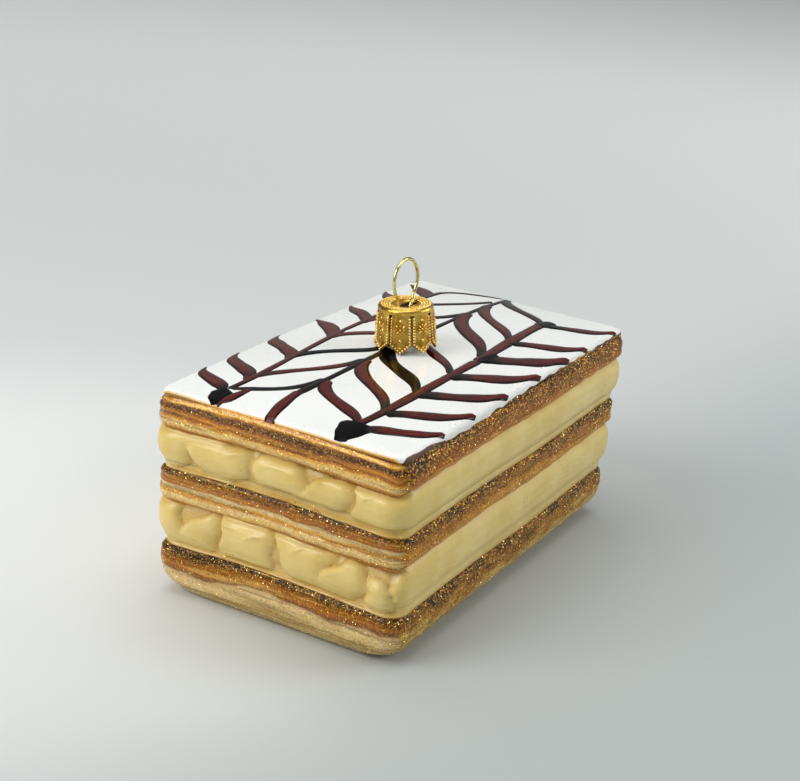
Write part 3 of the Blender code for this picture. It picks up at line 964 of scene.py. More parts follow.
# --- Icing and feathering -------------------------------------------------------------------
@dataclass
class Icing:
    """The domed white top with its rounded shoulder."""

    length_cells: int = 190
    width_cells: int = 100
    shoulder_reach: float = 0.0009
    shoulder_steps: int = 6
    skirt: float = 0.0008
    hem_at: tuple[float, ...] = (-0.048, -0.038, -0.031, -0.020, -0.008, 0.006, 0.048)
    hem_drop: tuple[float, ...] = (-0.8, -0.6, 0.5, 0.6, 0.15, -0.15, -0.55)
    neck: Vector = field(default_factory=lambda: Vector((-0.0019, 0.0007)))
    neck_radius: float = 0.00465

    def mound(self, x: np.ndarray, y: np.ndarray) -> np.ndarray:
        """The paint's rise round the foot of the neck."""
        away = np.hypot(x - self.neck.x, y - self.neck.y) - self.neck_radius
        return 0.0007 * np.exp(-np.maximum(away, 0) / 0.0009)

    def hem(self, x: np.ndarray, y: np.ndarray) -> np.ndarray:
        """How far below the shoulder's foot the white ends on the long sides, in metres."""
        along = -np.copysign(x, x * y)
        drop = np.interp(along, self.hem_at, self.hem_drop)
        return 0.001 * (drop + 0.16 * ripple(65 * along + np.sign(y), 61, 5, 26))

    def lay(self, x: np.ndarray, y: np.ndarray, above: np.ndarray) -> np.ndarray:
        """Lays plan points on the icing, folding what overhangs the rim down its shoulder.

        Args:
            x: How far along the slice each point is.
            y: How far across the slice each point is.
            above: How far above the surface each point lies.

        Returns:
            A row of x, y, z for each point.
        """
        reach = self.shoulder_reach
        flat_x, flat_y = FORM.half_length - reach, FORM.half_width - reach
        over = np.maximum(np.abs(x) - flat_x, np.abs(y) - flat_y)
        angle = np.clip(over / reach, 0, 0.5 * math.pi)
        past = np.maximum(over - 0.5 * math.pi * reach, 0)
        out = reach * np.sin(angle) + above * np.sin(angle)
        over_x, over_y = np.abs(x) - flat_x, np.abs(y) - flat_y
        on_x, on_y = (over_x > 0) & (over_x >= over_y), (over_y > 0) & (over_y > over_x)
        laid_x = np.where(on_x, np.sign(x) * (flat_x + out), x)
        laid_y = np.where(on_y, np.sign(y) * (flat_y + out), y)
        level = FORM.icing_height(laid_x, laid_y) + self.mound(laid_x, laid_y)
        level -= FORM.shoulder * (1 - np.cos(angle)) + past
        return np.stack((laid_x, laid_y, level + above * np.cos(angle)), axis=1)

    def build(self, material: bpy.types.Material) -> bpy.types.Object:
        """Models the icing from a grid whose rim is extruded over the shoulder."""
        reach, corner = self.shoulder_reach, FORM.corner
        inner_x, inner_y = FORM.half_length - reach, FORM.half_width - reach
        bpy.ops.mesh.primitive_grid_add(
            x_subdivisions=self.length_cells, y_subdivisions=self.width_cells, size=2.0
        )
        piece = Bench.name("icing")
        Bench.open(piece)
        bpy.ops.mesh.select_all(action="SELECT")
        bpy.ops.transform.resize(value=(inner_x, inner_y, 1.0))
        Bench.clear()
        places = Bench.points(piece)
        Bench.press(piece, self.round_corners(places, inner_x, inner_y, corner - reach))
        Bench.open(piece)
        Bench.select(piece, Kind.EDGES, lambda e: e.is_boundary)
        wide, deep, drop = inner_x, inner_y, 0.0
        for step in range(1, self.shoulder_steps + 1):
            angle = 0.5 * math.pi * step / self.shoulder_steps
            new_wide = inner_x + reach * math.sin(angle)
            new_deep = inner_y + reach * math.sin(angle)
            new_drop = FORM.shoulder * (1 - math.cos(angle))
            self.extrude_rim(new_wide / wide, new_deep / deep, drop - new_drop)
            wide, deep, drop = new_wide, new_deep, new_drop
        for _ in range(2):
            self.extrude_rim(1.0, 1.0, -0.5 * self.skirt)
        self.extrude_rim(1 - 0.0006 / wide, 1 - 0.0006 / deep, -0.0005)
        bpy.ops.mesh.edge_face_add()
        Bench.clear()
        places = Bench.points(piece)
        x, y, z = places.T
        below = np.clip((-z - FORM.shoulder) / self.skirt, 0, 1)
        hang = 0.00005 + self.on_side(x, y) * np.clip(self.hem(x, y), 0, 0.0011)
        rise = np.zeros_like(places)
        rise[:, 2] = FORM.icing_height(x, y) + self.mound(x, y) + below * (self.skirt - hang)
        Bench.press(piece, rise)
        self.write_notes(piece)
        Bench.outward(piece)
        Bench.smooth(piece, 50.0)
        return Bench.finish(piece, material, Slot.ICING, "glass_body")

    @staticmethod
    def extrude_rim(wider: float, deeper: float, rise: float) -> None:
        """Extrudes the selected rim once, outwards and up."""
        bpy.ops.mesh.extrude_edges_move()
        bpy.ops.transform.resize(value=(wider, deeper, 1.0), center_override=(0.0, 0.0, 0.0))
        bpy.ops.transform.translate(value=(0.0, 0.0, rise))

    @staticmethod
    def round_corners(
        places: np.ndarray, half_x: float, half_y: float, radius: float
    ) -> np.ndarray:
        """The moves that turn the grid's square corners into round ones."""
        moves = np.zeros_like(places)
        over_x = np.abs(places[:, 0]) - (half_x - radius)
        over_y = np.abs(places[:, 1]) - (half_y - radius)
        inside = (over_x > 0) & (over_y > 0)
        u, v = over_x[inside] / radius, over_y[inside] / radius
        new_u, new_v = u * np.sqrt(1 - v**2 / 2), v * np.sqrt(1 - u**2 / 2)
        moves[inside, 0] = (new_u - u) * radius * np.sign(places[inside, 0])
        moves[inside, 1] = (new_v - v) * radius * np.sign(places[inside, 1])
        return moves

    @staticmethod
    def on_side(x: np.ndarray, y: np.ndarray) -> np.ndarray:
        """1 near the long sides, 0 near the ends, with a soft turn at the corners."""
        return eased(FORM.half_length - np.abs(x) - FORM.half_width + np.abs(y), -0.0015, 0.0015)

    def write_notes(self, piece: bpy.types.Object) -> None:
        """Writes how far in each point is, which rim is nearest, and the glitter's density."""
        places = Bench.points(piece)
        x, y, z = places.T
        on_side = self.on_side(x, y)
        foot = FORM.icing_edge + FORM.arch * (1 - (x / FORM.half_length) ** 2)
        iced = np.clip((z - foot + self.hem(x, y)) / 0.0004, -2, 2)
        Bench.note(piece, "iced", iced * on_side + 2 * (1 - on_side))
        from_end = FORM.half_length - np.abs(places[:, 0])
        from_side = FORM.half_width - np.abs(places[:, 1])
        drop = np.clip((FORM.icing_edge + FORM.shoulder - places[:, 2]) / FORM.shoulder, 0, 2)
        inward = np.minimum(from_end, from_side) / 0.0020 + 0.25 - 0.25 * drop
        Bench.note(piece, "inward", np.clip(inward, 0, 2))
        Bench.note(piece, "on_end", 1 - on_side)
        near = 1 - eased(np.minimum(from_end, from_side), 0.0002, 0.0030)
        Bench.note(piece, "glitter", 0.16 * near**2)


@dataclass(frozen=True)
class Stroke:
    """One painted stroke as a cubic curve seen from above, in millimetres.

    The two handles are measured from the root and from the tip. Darkness runs from 0, thin
    oxblood, to 1, pooled nearly black.
    """

    root: tuple[float, float]
    root_handle: tuple[float, float]
    tip_handle: tuple[float, float]
    tip: tuple[float, float]
    width: float
    root_share: float = 0.6
    tip_share: float = 0.6
    root_dark: float = 0.8
    middle_dark: float = 0.15
    tip_dark: float = 0.2
    swell: float = 0.28

    def path(self, t: np.ndarray) -> np.ndarray:
        """Points of the centre line, in metres, at shares of the way along."""
        a, b, c, d = (
            np.array(p) for p in (self.root, self.root_handle, self.tip_handle, self.tip)
        )
        b, c = a + b, d + c
        t = t[:, None]
        curve = (1 - t) ** 3 * a + 3 * (1 - t) ** 2 * t * b + 3 * (1 - t) * t**2 * c + t**3 * d
        return 0.001 * curve

    def across(self, t: np.ndarray) -> np.ndarray:
        """The stroke's width in metres at shares of the way along."""
        taper = self.root_share + (1 - self.root_share) * eased(t, 0.0, self.swell)
        taper *= self.tip_share + (1 - self.tip_share) * (1 - eased(t, 0.62, 1.0))
        hand = 1 + 0.07 * np.sin(11.0 * t + 3.7 * self.root[0] + self.root[1])
        ends = np.clip(np.minimum(t, 1 - t) / 0.04, 0, 1)
        return 0.001 * self.width * taper * hand * (0.05 + 0.95 * np.sqrt(1 - (1 - ends) ** 2))


@dataclass
class Feathering:
    """The chocolate strokes: three spines and the barbs drawn across them."""

    icing: Icing
    steps: int = 56
    strands: int = 8
    stand: float = 0.00016
    bury: float = 0.00004
    spines: tuple[Stroke, ...] = (
        Stroke((-41.8, 14.6), (9, -1.6), (-14, -0.6), (0.0, 15.7), 1.5, 1.0, 1.0, 0.6, 0.2, 0.2),
        Stroke((-1.0, 15.7), (14, 0.1), (-12, 0.9), (40.0, 14.8), 1.4, 1.0, 1.0, 0.2, 0.3, 0.5),
        Stroke((-49.0, 1.4), (4, 1.4), (-4, -0.1), (-35.6, 3.6), 2.2, 0.9, 0.9, -0.2, -0.3, -0.1),
        Stroke((-36.6, 3.5), (10, -1.0), (-14, 0.2), (-4.0, 2.6), 1.5, 1.2, 1.0, 0.7, 0.8, 0.9),
        Stroke((8.0, 2.4), (9, 0.2), (-12, -0.4), (48.0, 2.4), 1.3, 1.0, 1.0, 0.8, 0.6, 0.6),
        Stroke((-42.0, -11.7), (9, -2.2), (-16, 0.2), (2.0, -13.4), 2.2, 0.8, 1.0, 0.6, 0.2, 0.3),
        Stroke((1.0, -13.4), (12, 0.3), (-12, 0.0), (36.0, -12.3), 2.5, 1.0, 1.0, 0.3, 0.05, 0.5),
    )
    blobs: tuple[Stroke, ...] = (
        Stroke((-48.0, 12.9), (1.5, 0.8), (-1.5, -0.7), (-42.0, 15.3), 4.2, 0.5, 0.35, 1.6, 1.6, 1.6, 0.5),
        Stroke((-48.3, 12.5), (3, -0.5), (-3, 0.8), (-40.0, 11.2), 2.2, 0.3, 0.5, -0.4, -0.4, 0.3),
        Stroke((-48.1, -12.4), (2, 0.2), (-2, 0.0), (-40.6, -12.2), 7.2, 0.36, 0.7, 1.6, 1.6, 1.6, 0.85),
        Stroke((32.0, -12.6), (1, 0.0), (-1, 0.0), (36.8, -13.0), 3.6, 0.7, 0.7, 1.0, 1.0, 1.0),
        Stroke((1.0, -13.7), (1, 0.0), (-1, 0.0), (7.5, -14.2), 3.2, 0.5, 0.6, 1.1, 1.1, 0.9),
    )
    to_right_edge: tuple[tuple[float, float, float, float], ...] = (
        (-42.6, 8.8, 3.3, 0.6),
        (-34.8, 12.8, 3.5, 0.9),
        (-23.8, 15.2, 3.7, 1.0),
        (-11.2, 17.0, 3.9, 0.9),
        (1.8, 17.5, 4.3, 1.1),
        (16.0, 12.4, 3.5, 0.8),
        (33.0, 10.8, 3.2, 1.0),
    )
    middle_to_right: tuple[tuple[float, float, float, float], ...] = (
        (-27.7, -14.6, 2.9, 0.22),
        (-13.0, -21.0, 2.9, 0.1),
        (-4.0, -18.4, 3.5, 1.4),
        (8.5, -17.6, 2.9, 0.12),
        (28.7, -25.2, 3.6, 0.2),
        (38.5, -22.5, 2.9, 0.1),
        (48.2, -15.6, 2.9, 0.6),
    )
    left_to_middle: tuple[Stroke, ...] = (
        Stroke((-41.5, 14.2), (3.0, -3.6), (-9.5, 0.4), (-27.5, 3.4), 2.0, 0.7, 0.9, 0.5, 0.7, 0.9),
        Stroke((-34.5, 13.9), (6.5, -1.2), (-9.8, 0.0), (-13.5, 3.5), 2.3, 0.7, 0.7, 0.6, 0.2, 0.8),
        Stroke((-22.5, 14.6), (8.3, 0.2), (-6.0, 0.8), (-4.0, 3.4), 2.5, 0.7, 0.9, 0.9, 1.0, 1.2),
        Stroke((-6.5, 15.1), (8.0, 0.0), (-7.0, 1.8), (10.0, 3.0), 2.6, 0.7, 0.8, 0.2, 0.1, 0.5),
        Stroke((7.5, 15.2), (8.0, 0.0), (-10.0, 1.8), (26.5, 3.0), 2.1, 0.8, 0.9, 0.2, 0.4, 0.8),
        Stroke((20.5, 15.6), (7.0, -1.4), (-10.0, 2.4), (42.0, 3.4), 1.9, 0.8, 0.8, 0.3, 0.5, 0.7),
        Stroke((37.0, 15.2), (6.5, -0.6), (-3.0, 6.0), (48.0, 3.2), 1.6, 0.9, 0.8, 0.5, 0.4, 0.4),
    )
    to_left_edge: tuple[Stroke, ...] = (
        Stroke((-43.8, 15.0), (4.4, 0.8), (-5.4, -0.6), (-34.2, 24.7), 3.3, 0.4, 0.16, 1.0, 0.2, 0.6),
        Stroke((-36.8, 14.6), (6.8, 0.8), (-8.2, -0.6), (-23.3, 24.8), 3.5, 0.4, 0.16, 0.6, 0.2, 0.3),
        Stroke((-22.8, 14.7), (7.2, 0.8), (-8.4, -0.6), (-8.8, 25.0), 3.6, 0.4, 0.16, 0.5, 0.1, 0.3),
        Stroke((-6.8, 15.2), (5.6, 0.9), (-1.8, -3.4), (4.4, 25.1), 3.6, 0.4, 0.16, 0.4, 0.1, 0.3),
        Stroke((6.4, 15.2), (6.2, 0.8), (-4.4, -3.0), (18.2, 25.1), 3.4, 0.4, 0.16, 0.5, 0.1, 0.3),
        Stroke((20.2, 15.4), (6.4, 0.8), (-5.2, -2.6), (33.0, 24.9), 3.8, 0.4, 0.16, 0.4, 0.1, 0.3),
        Stroke((32.4, 15.6), (5.6, 0.8), (-2.6, -3.4), (41.8, 23.4), 3.8, 0.4, 0.16, 0.5, 0.2, 0.5),
    )

    def strokes(self) -> list[Stroke]:
        """Every stroke of the pattern, the lowest first."""
        found = list(self.left_to_middle) + list(self.to_left_edge)
        for x, sweep, width, dark in self.middle_to_right:
            found.append(
                Stroke(
                    (x, 2.3),
                    (0.55 * sweep, -0.9),
                    (-0.47 * sweep, 3.4),
                    (x + sweep, -12.8),
                    width,
                    0.75,
                    0.5,
                    dark,
                    dark,
                    0.8,
                )
            )
        for x, sweep, width, dark in self.to_right_edge:
            found.append(
                Stroke(
                    (x, -13.4),
                    (0.34 * sweep, -3.2),
                    (-0.72 * sweep, 3.4),
                    (x + sweep, -25.05),
                    width,
                    0.8,
                    0.5,
                    dark + 0.2,
                    0.35 * dark,
                    -0.1,
                )
            )
        return found + list(self.spines) + list(self.blobs)

    def ribbon(self, stroke: Stroke, lift: float) -> bpy.types.Object:
        """One stroke as a thin crowned ribbon that lies on the icing and runs over its rim."""
        bpy.ops.mesh.primitive_grid_add(
            x_subdivisions=self.steps, y_subdivisions=self.strands, size=2.0
        )
        piece = Bench.name("stroke")
        places = Bench.points(piece)
        t, across = 0.5 * (places[:, 0] + 1), places[:, 1]
        line = stroke.path(t)
        ahead = stroke.path(np.clip(t + 0.01, 0, 1)) - stroke.path(np.clip(t - 0.01, 0, 1))
        ahead /= np.linalg.norm(ahead, axis=1)[:, None]
        width = stroke.across(t)
        x = line[:, 0] - ahead[:, 1] * across * 0.5 * width
        y = line[:, 1] + ahead[:, 0] * across * 0.5 * width
        crown = self.stand * (1 - np.abs(across) ** 4) - self.bury + lift
        target = self.icing.lay(x, y, crown)
        Bench.press(piece, target - places)
        length = np.linalg.norm(np.diff(stroke.path(np.linspace(0, 1, 40)), axis=0), axis=1).sum()
        Bench.note(piece, "along", t * length + stroke.root[0] + stroke.root[1])
        Bench.note(piece, "across", across)
        dark = np.interp(
            t, (0.0, 0.35, 0.7, 1.0), (stroke.root_dark, stroke.middle_dark, stroke.middle_dark, stroke.tip_dark)
        )
        Bench.note(piece, "pool", dark)
        Bench.apply(piece, "SOLIDIFY", thickness=0.00012, offset=-1.0)
        return piece

    def build(self, material: bpy.types.Material) -> bpy.types.Object:
        """Paints every stroke and joins them."""
        strokes = self.strokes()
        ribbons = [
            self.ribbon(stroke, 0.00006 * index / len(strokes))
            for index, stroke in enumerate(strokes)
        ]
        piece = Bench.join("chocolate_feathering", ribbons)
        Bench.smooth(piece, 60.0)
        return Bench.finish(piece, material, Slot.CHOCOLATE, "glass_body")


# --- Neck, cap and wire ---------------------------------------------------------------------
@dataclass(frozen=True)
class NeckAxis:
    """The leaning axis that the neck, the cap and the wire share."""

    x: float = -0.0019
    y: float = 0.0007
    lean: float = math.radians(4.6)
    towards: float = math.radians(119.0)
    turn: float = math.radians(-5.0)

    def matrix(self) -> Matrix:
        """From the cap's own frame, with its origin on the icing's crown, to the slice's."""
        heading = Vector((math.cos(self.towards), math.sin(self.towards), 0.0))
        lean = Matrix.Rotation(self.lean, 4, Vector((0.0, 0.0, 1.0)).cross(heading))
        turn = Matrix.Rotation(self.turn, 4, "Z")
        return Matrix.Translation((self.x, self.y, FORM.crown)) @ lean @ turn


@dataclass
class Neck:
    """The glass neck under the cap, glimpsed through the slits."""

    axis: NeckAxis
    radius: float = 0.00465
    bore: float = 0.0039
    top: float = 0.0076
    root: float = 0.0030
    bore_depth: float = 0.0100

    def build(self, material: bpy.types.Material) -> bpy.types.Object:
        """Models the neck: a bar with a rounded lip and a blind bore."""
        bpy.ops.mesh.primitive_cylinder_add(
            vertices=48,
            radius=self.radius,
            depth=self.top + self.root,
            location=(0.0, 0.0, 0.5 * (self.top - self.root)),
        )
        piece = Bench.name("glass_neck")
        Bench.open(piece)
        Bench.select(piece, Kind.FACES, lambda f: f.normal.z > 0.9)
        bpy.ops.mesh.inset(thickness=self.radius - self.bore)
        bpy.ops.mesh.extrude_region_move(
            TRANSFORM_OT_translate={"value": (0.0, 0.0, -self.bore_depth)}
        )
        Bench.select(
            piece,
            Kind.EDGES,
            lambda e: all(v.co.z > self.top - 1e-5 for v in e.verts)
            and abs(e.verts[0].co.xy.length - e.verts[1].co.xy.length) < 1e-5,
        )
        bpy.ops.mesh.bevel(offset=0.0002, segments=3, affect="EDGES")
        Bench.clear()
        piece.data.transform(self.axis.matrix())
        Bench.smooth(piece)
        return Bench.finish(piece, material, Slot.GLASS, "glass_body")


@dataclass
class Cap:
    """The stamped cap: beaded rings round a sunk, slotted top, and eight beaded petals."""

    axis: NeckAxis
    lift: float = 0.0005
    height: float = 0.0086
    top_radius: float = 0.0054
    foot_radius: float = 0.0060
    rim_round: float = 0.0007
    metal: float = 0.0003
    band: float = 0.0011
    dish: float = 0.00055
    point: float = 0.0019
    petals: int = 8
    columns: int = 16
    slot_middle: float = -0.00015
    slot_half_length: float = 0.0030
    slot_half_width: float = 0.0011
    bead: float = 0.00028
    bead_rows: int = 10
    point_beads: int = 4

    @property
    def top(self) -> float:
        """The height of the cap's rim above the icing's crown."""
        return self.lift + self.height

    @property
    def low(self) -> float:
        """The height at which the petals begin to narrow to their points."""
        return self.lift + self.point

    def skin_radius(self, level: float) -> float:
        """The petals' outer radius at a height."""
        down = max(0.0, (self.top - self.band - level) / (self.height - self.band))
        return self.top_radius + (self.foot_radius - self.top_radius) * down

    def profile(self, start: float) -> list[tuple[float, float]]:
        """The sheet's radius and height, from just outside the slot to the petals' tips."""
        inner = self.top_radius - self.rim_round
        floor = self.top - self.dish
        found = [
            (start * 1.10, floor + 0.00006),
            (start * 1.22, floor + 0.00022),
            (start * 1.36, self.top - 0.00016),
            (start * 1.60, self.top - 0.00006),
            (0.88 * inner, self.top - 0.00003),
        ]
        for step in range(8):
            angle = 0.5 * math.pi * step / 7
            radius = inner + self.rim_round * math.sin(angle)
            found.append((radius, self.top - self.rim_round * (1 - math.cos(angle))))
        found.append((self.top_radius - 0.00005, self.top - self.band + 0.00015))
        found.append((self.top_radius, self.top - self.band))
        for step in range(1, 9):
            level = self.top - self.band + (self.low - self.top + self.band) * step / 8
            found.append((self.skin_radius(level), level))
        for step in range(1, 5):
            level = self.low - self.point * step / 4
            found.append((self.skin_radius(level), level))
        return found

    def shell(self) -> bpy.types.Object:
        """The stamped sheet, from the slot outwards, over the rim and down to the tips."""
        start, floor = 0.0022, self.top - self.dish
        bpy.ops.mesh.primitive_circle_add(
            vertices=self.petals * self.columns, radius=start, location=(0.0, 0.0, floor)
        )
        piece = Bench.name("gold_cap")
        Bench.open(piece)
        bpy.ops.mesh.select_all(action="SELECT")
        radius, level = start, floor
        for new_radius, new_level in self.profile(start):
            bpy.ops.mesh.extrude_edges_move()
            scale = new_radius / radius
            bpy.ops.transform.resize(value=(scale, scale, 1.0), center_override=(0.0, 0.0, 0.0))
            bpy.ops.transform.translate(value=(0.0, 0.0, new_level - level))
            radius, level = new_radius, new_level
        Bench.select(piece, Kind.FACES, self.in_slit)
        bpy.ops.mesh.delete(type="FACE")
        Bench.clear()
        Bench.press(piece, self.stamp(Bench.points(piece), start))
        self.face_out(piece)
        Bench.apply(piece, "SOLIDIFY", thickness=self.metal, offset=-1.0)
        return piece

    @staticmethod
    def face_out(piece: bpy.types.Object) -> None:
        """Turns the open sheet's faces up and outwards."""
        Bench.open(piece)
        form = bmesh.from_edit_mesh(piece.data)
        form.normal_update()
        top = max(form.faces, key=lambda f: f.calc_center_median().z)
        if top.normal.z < 0:
            bpy.ops.mesh.select_all(action="SELECT")
            bpy.ops.mesh.flip_normals()
        Bench.clear()

    def phase(self, x: np.ndarray, y: np.ndarray) -> np.ndarray:
        """How far across its petal a point is: 0 and 1 at the slits, 0.5 on the middle line."""
        return np.mod(np.arctan2(y, x) / (2 * math.pi) * self.petals, 1.0)

    def in_slit(self, face: bmesh.types.BMFace) -> bool:
        """Whether a face lies in a slit, or in the wider notch at a slit's top."""
        middle = face.calc_center_median()
        down = self.top - self.band - middle.z
        if down < 0 or middle.xy.length < 0.9 * self.top_radius:
            return False
        phase = float(self.phase(middle.x, middle.y))
        in_notch = down < 0.0006 and (phase < 2.0 / self.columns or phase > 1 - 1.0 / self.columns)
        return phase < 1.0 / self.columns or in_notch

    def stamp(self, places: np.ndarray, start: float) -> np.ndarray:
        """The moves that open the slot, cut the petals to their points and cup them."""
        moves = np.zeros_like(places)
        x, y, z = places.T
        radius = np.hypot(x, y)
        slot = radius < start * 1.30
        size = np.abs(x / radius / self.slot_half_length) ** 3.0
        size = (size + np.abs(y / radius / self.slot_half_width) ** 3.0) ** (-1 / 3.0)
        reach = size * radius / start
        blend = np.clip((start * 1.30 - radius) / (start * 0.30), 0, 1)
        moves[slot, 0] = (blend * (self.slot_middle + reach * x / radius - x))[slot]
        moves[slot, 1] = (blend * (reach * y / radius - y))[slot]
        across = np.abs(2 * self.phase(x, y) - 1 - 1.0 / self.columns)
        outer = (radius > 0.9 * self.top_radius) & (z < self.low + 1e-6)
        moves[outer, 2] = (np.clip(across, 0, 1) ** 1.15 * (self.low - z))[outer]
        skirt = (radius > 0.9 * self.top_radius) & (z < self.top - self.band + 1e-6)
        cup = -0.00012 * np.clip(across, 0, 1) ** 2
        moves[skirt, 0] += (cup * x / radius)[skirt]
        moves[skirt, 1] += (cup * y / radius)[skirt]
        return moves

    def beads(self) -> bpy.types.Object:
        """All the beading: rings on the top, rows and a flower on each petal."""
        bpy.ops.mesh.primitive_uv_sphere_add(segments=8, ring_count=5, radius=1.0)
        bead = Bench.name("gold_beading")
        tops = []
        for ring, level in ((0.00308, -0.00012), (0.00362, -0.00005), (0.00416, -0.00003), (0.00468, -0.00001)):
            count = round(2 * math.pi * ring / 0.00053)
            for index in range(count):
                angle = 2 * math.pi * (index + 0.5 * (ring > 0.0036)) / count
                spot = Vector((ring * math.cos(angle), ring * math.sin(angle), self.top + level))
                tops.append(self.set_bead(bead, spot, Vector((0.92, 0.92, 0.70)), 0.0, None))
        petal = self.petal_beads(bead)
        petals = [
            Bench.copy(petal, Matrix.Rotation(2 * math.pi * index / self.petals, 4, "Z"))
            for index in range(1, self.petals)
        ]
        bpy.data.objects.remove(bead)
        return Bench.join("gold_beading", [petal, *petals, *tops])

    def set_bead(
        self,
        bead: bpy.types.Object,
        spot: Vector,
        shape: Vector,
        turn: float,
        angle: float | None,
    ) -> bpy.types.Object:
        """One bead of the cap.

        Args:
            bead: The bead to copy, of radius 1.
            spot: Its place.
            shape: Its size along its own axes, in bead radii.
            turn: How far it's turned about its own normal.
            angle: Which way it faces, or None if it faces up.

        Returns:
            The copy.
        """
        size = Matrix.Diagonal((*(shape * self.bead), 1.0))
        facing = Matrix.Identity(4)
        if angle is not None:
            facing = Matrix.Rotation(angle, 4, "Z") @ Matrix.Rotation(0.5 * math.pi, 4, "Y")
        spin = Matrix.Rotation(turn, 4, "Z")
        return Bench.copy(bead, Matrix.Translation(spot) @ facing @ spin @ size)

    def edge_rows(self) -> list[tuple[float, float]]:
        """How far aside and how high each bead of a petal's two edge rows stands."""
        high = self.top - self.band - 0.00062
        found = []
        for index in range(self.bead_rows):
            level = high + (self.low - high) * index / (self.bead_rows - 1)
            found.append((self.half_petal(level), level))
        for index in range(1, self.point_beads):
            share = index / self.point_beads
            level = self.low - (self.point - 0.00035) * share
            found.append((self.half_petal(self.low) * (1 - share), level))
        pairs = [(side * aside, level) for aside, level in found for side in (-1.0, 1.0)]
        return pairs + [(0.0, self.lift + 0.00035)]

    def half_petal(self, level: float) -> float:
        """How far an edge row stands from its petal's middle line at a height."""
        slit = math.pi / self.petals / self.columns
        return self.skin_radius(level) * (math.pi / self.petals - slit) - 0.00030

    def petal_beads(self, bead: bpy.types.Object) -> bpy.types.Object:
        """The beading of the first petal: two rows that meet at the tip, and a flower."""
        middle = math.pi / self.petals * (1 + 1.0 / self.columns)
        spots = [(aside, level, 1.0, 1.0, 0.0) for aside, level in self.edge_rows()]
        high = self.top - self.band
        heart = 0.5 * (self.low + high) + 0.00010
        spots.append((0.0, high - 0.00100, 1.15, 1.15, 0.0))
        spots.append((0.0, heart, 0.95, 0.95, 0.0))
        spots.append((0.0, heart - 0.00215, 1.25, 1.25, 0.0))
        spots.append((0.0, self.lift + 0.00125, 0.8, 0.8, 0.0))
        for side in (-1.0, 1.0):
            for up in (-1.0, 1.0):
                spots.append((side * 0.00058, heart + up * 0.00058, 1.7, 0.75, -side * up * 0.80))
            spots.append((side * 0.00070, heart, 0.62, 0.62, 0.0))
            spots.append((0.0, heart + side * 0.00082, 0.62, 0.62, 0.0))
        made = []
        for aside, level, long, wide, turn in spots:
            radius = self.skin_radius(level) - 0.00002
            angle = middle + aside / radius
            spot = Vector((radius * math.cos(angle), radius * math.sin(angle), level))
            made.append(self.set_bead(bead, spot, Vector((long, wide, 1.05)), turn, angle))
        return Bench.join("petal_beads", made)

    def build(self, plate: bpy.types.Material, polished_and_highlit: bpy.types.Material) -> None:
        """Models the shell and its beading and puts both on the neck."""
        # The beading gets a gold that is polished and painted brighter as a highlight.
        for piece, material in ((self.shell(), plate), (self.beads(), polished_and_highlit)):
            piece.data.transform(self.axis.matrix())
            Bench.smooth(piece, 50.0)
            Bench.finish(piece, material, Slot.GOLD, "cap")


@dataclass
class Wire:
    """The bent brass wire: a loop whose two legs go through the cap's slot."""

    axis: NeckAxis
    cap_top: float
    radius: float = 0.00035
    half_width: float = 0.0040
    half_height: float = 0.00415
    centre: float = 0.0045
    open_angle: float = math.radians(80)
    steps: int = 40

    def stops(self) -> list[Vector]:
        """The points that the wire passes, from one leg's end to the other's."""
        top = self.cap_top
        found = [
            Vector((-0.0024, 0.0000, top - 0.0070)),
            Vector((-0.0026, 0.0000, top - 0.0020)),
            Vector((-0.0027, 0.0000, top - 0.0004)),
        ]
        start = -0.5 * math.pi - 0.5 * self.open_angle
        sweep = 2 * math.pi - self.open_angle
        for step in range(self.steps + 1):
            angle = start - sweep * step / self.steps
            height = top + self.centre + self.half_height * math.sin(angle)
            found.append(Vector((self.half_width * math.cos(angle), 0.0, height)))
        found += [
            Vector((0.0021, -0.0003, top + 0.0003)),
            Vector((0.0009, -0.0004, top - 0.0006)),
            Vector((0.0008, -0.0003, top - 0.0024)),
            Vector((0.0020, 0.0000, top - 0.0070)),
        ]
        return found

    def build(self, material: bpy.types.Material) -> bpy.types.Object:
        """Models the wire as a round path of its thickness and makes it a mesh."""
        bpy.ops.curve.primitive_nurbs_path_add()
        piece = bpy.context.active_object
        curve = piece.data
        curve.splines.clear()
        stops = self.stops()
        spline = curve.splines.new("NURBS")
        spline.points.add(len(stops) - 1)
        for point, stop in zip(spline.points, stops):
            point.co = (*stop, 1.0)
        spline.order_u = 3
        spline.use_endpoint_u = True
        spline.resolution_u = 4
        curve.bevel_depth = self.radius
        curve.bevel_resolution = 4
        curve.use_fill_caps = True
        bpy.ops.object.convert(target="MESH")
        piece = bpy.context.active_object
        piece.name = piece.data.name = "brass_loop"
        piece.data.transform(self.axis.matrix())
        Bench.smooth(piece, 60.0)
        return Bench.finish(piece, material, Slot.BRASS, "hanger")


@dataclass(frozen=True)
class GoldPlate:
    """Bright stamped gold plate, with a deeper tone in soft random patches."""

    name: str
    bright: Colour = tone(232, 190, 92)
    deep: Colour = tone(164, 118, 34)
    roughness: float = 0.28

    def make(self) -> bpy.types.Material:
        """Builds the material."""
        paint = Paint(self.name, Specular_IOR_Level=0.5)
        place = paint.place()
        cloud = paint.noise(place, 420.0, 3.0)
        fine = paint.noise(place, 2600.0, 2.0)
        colour = paint.mix(cloud.rise(0.35, 0.70), self.deep, self.bright)
        normal = paint.bump(fine * 0.7 + cloud * 0.3, 0.00004)
        return paint.feed(
            Base_Color=colour,
            Roughness=self.roughness + (cloud - 0.5) * 0.16,
            Metallic=1.0 - (fine - 0.5).rise(0.30, 0.34) * 0.2,
            Normal=normal,
        )


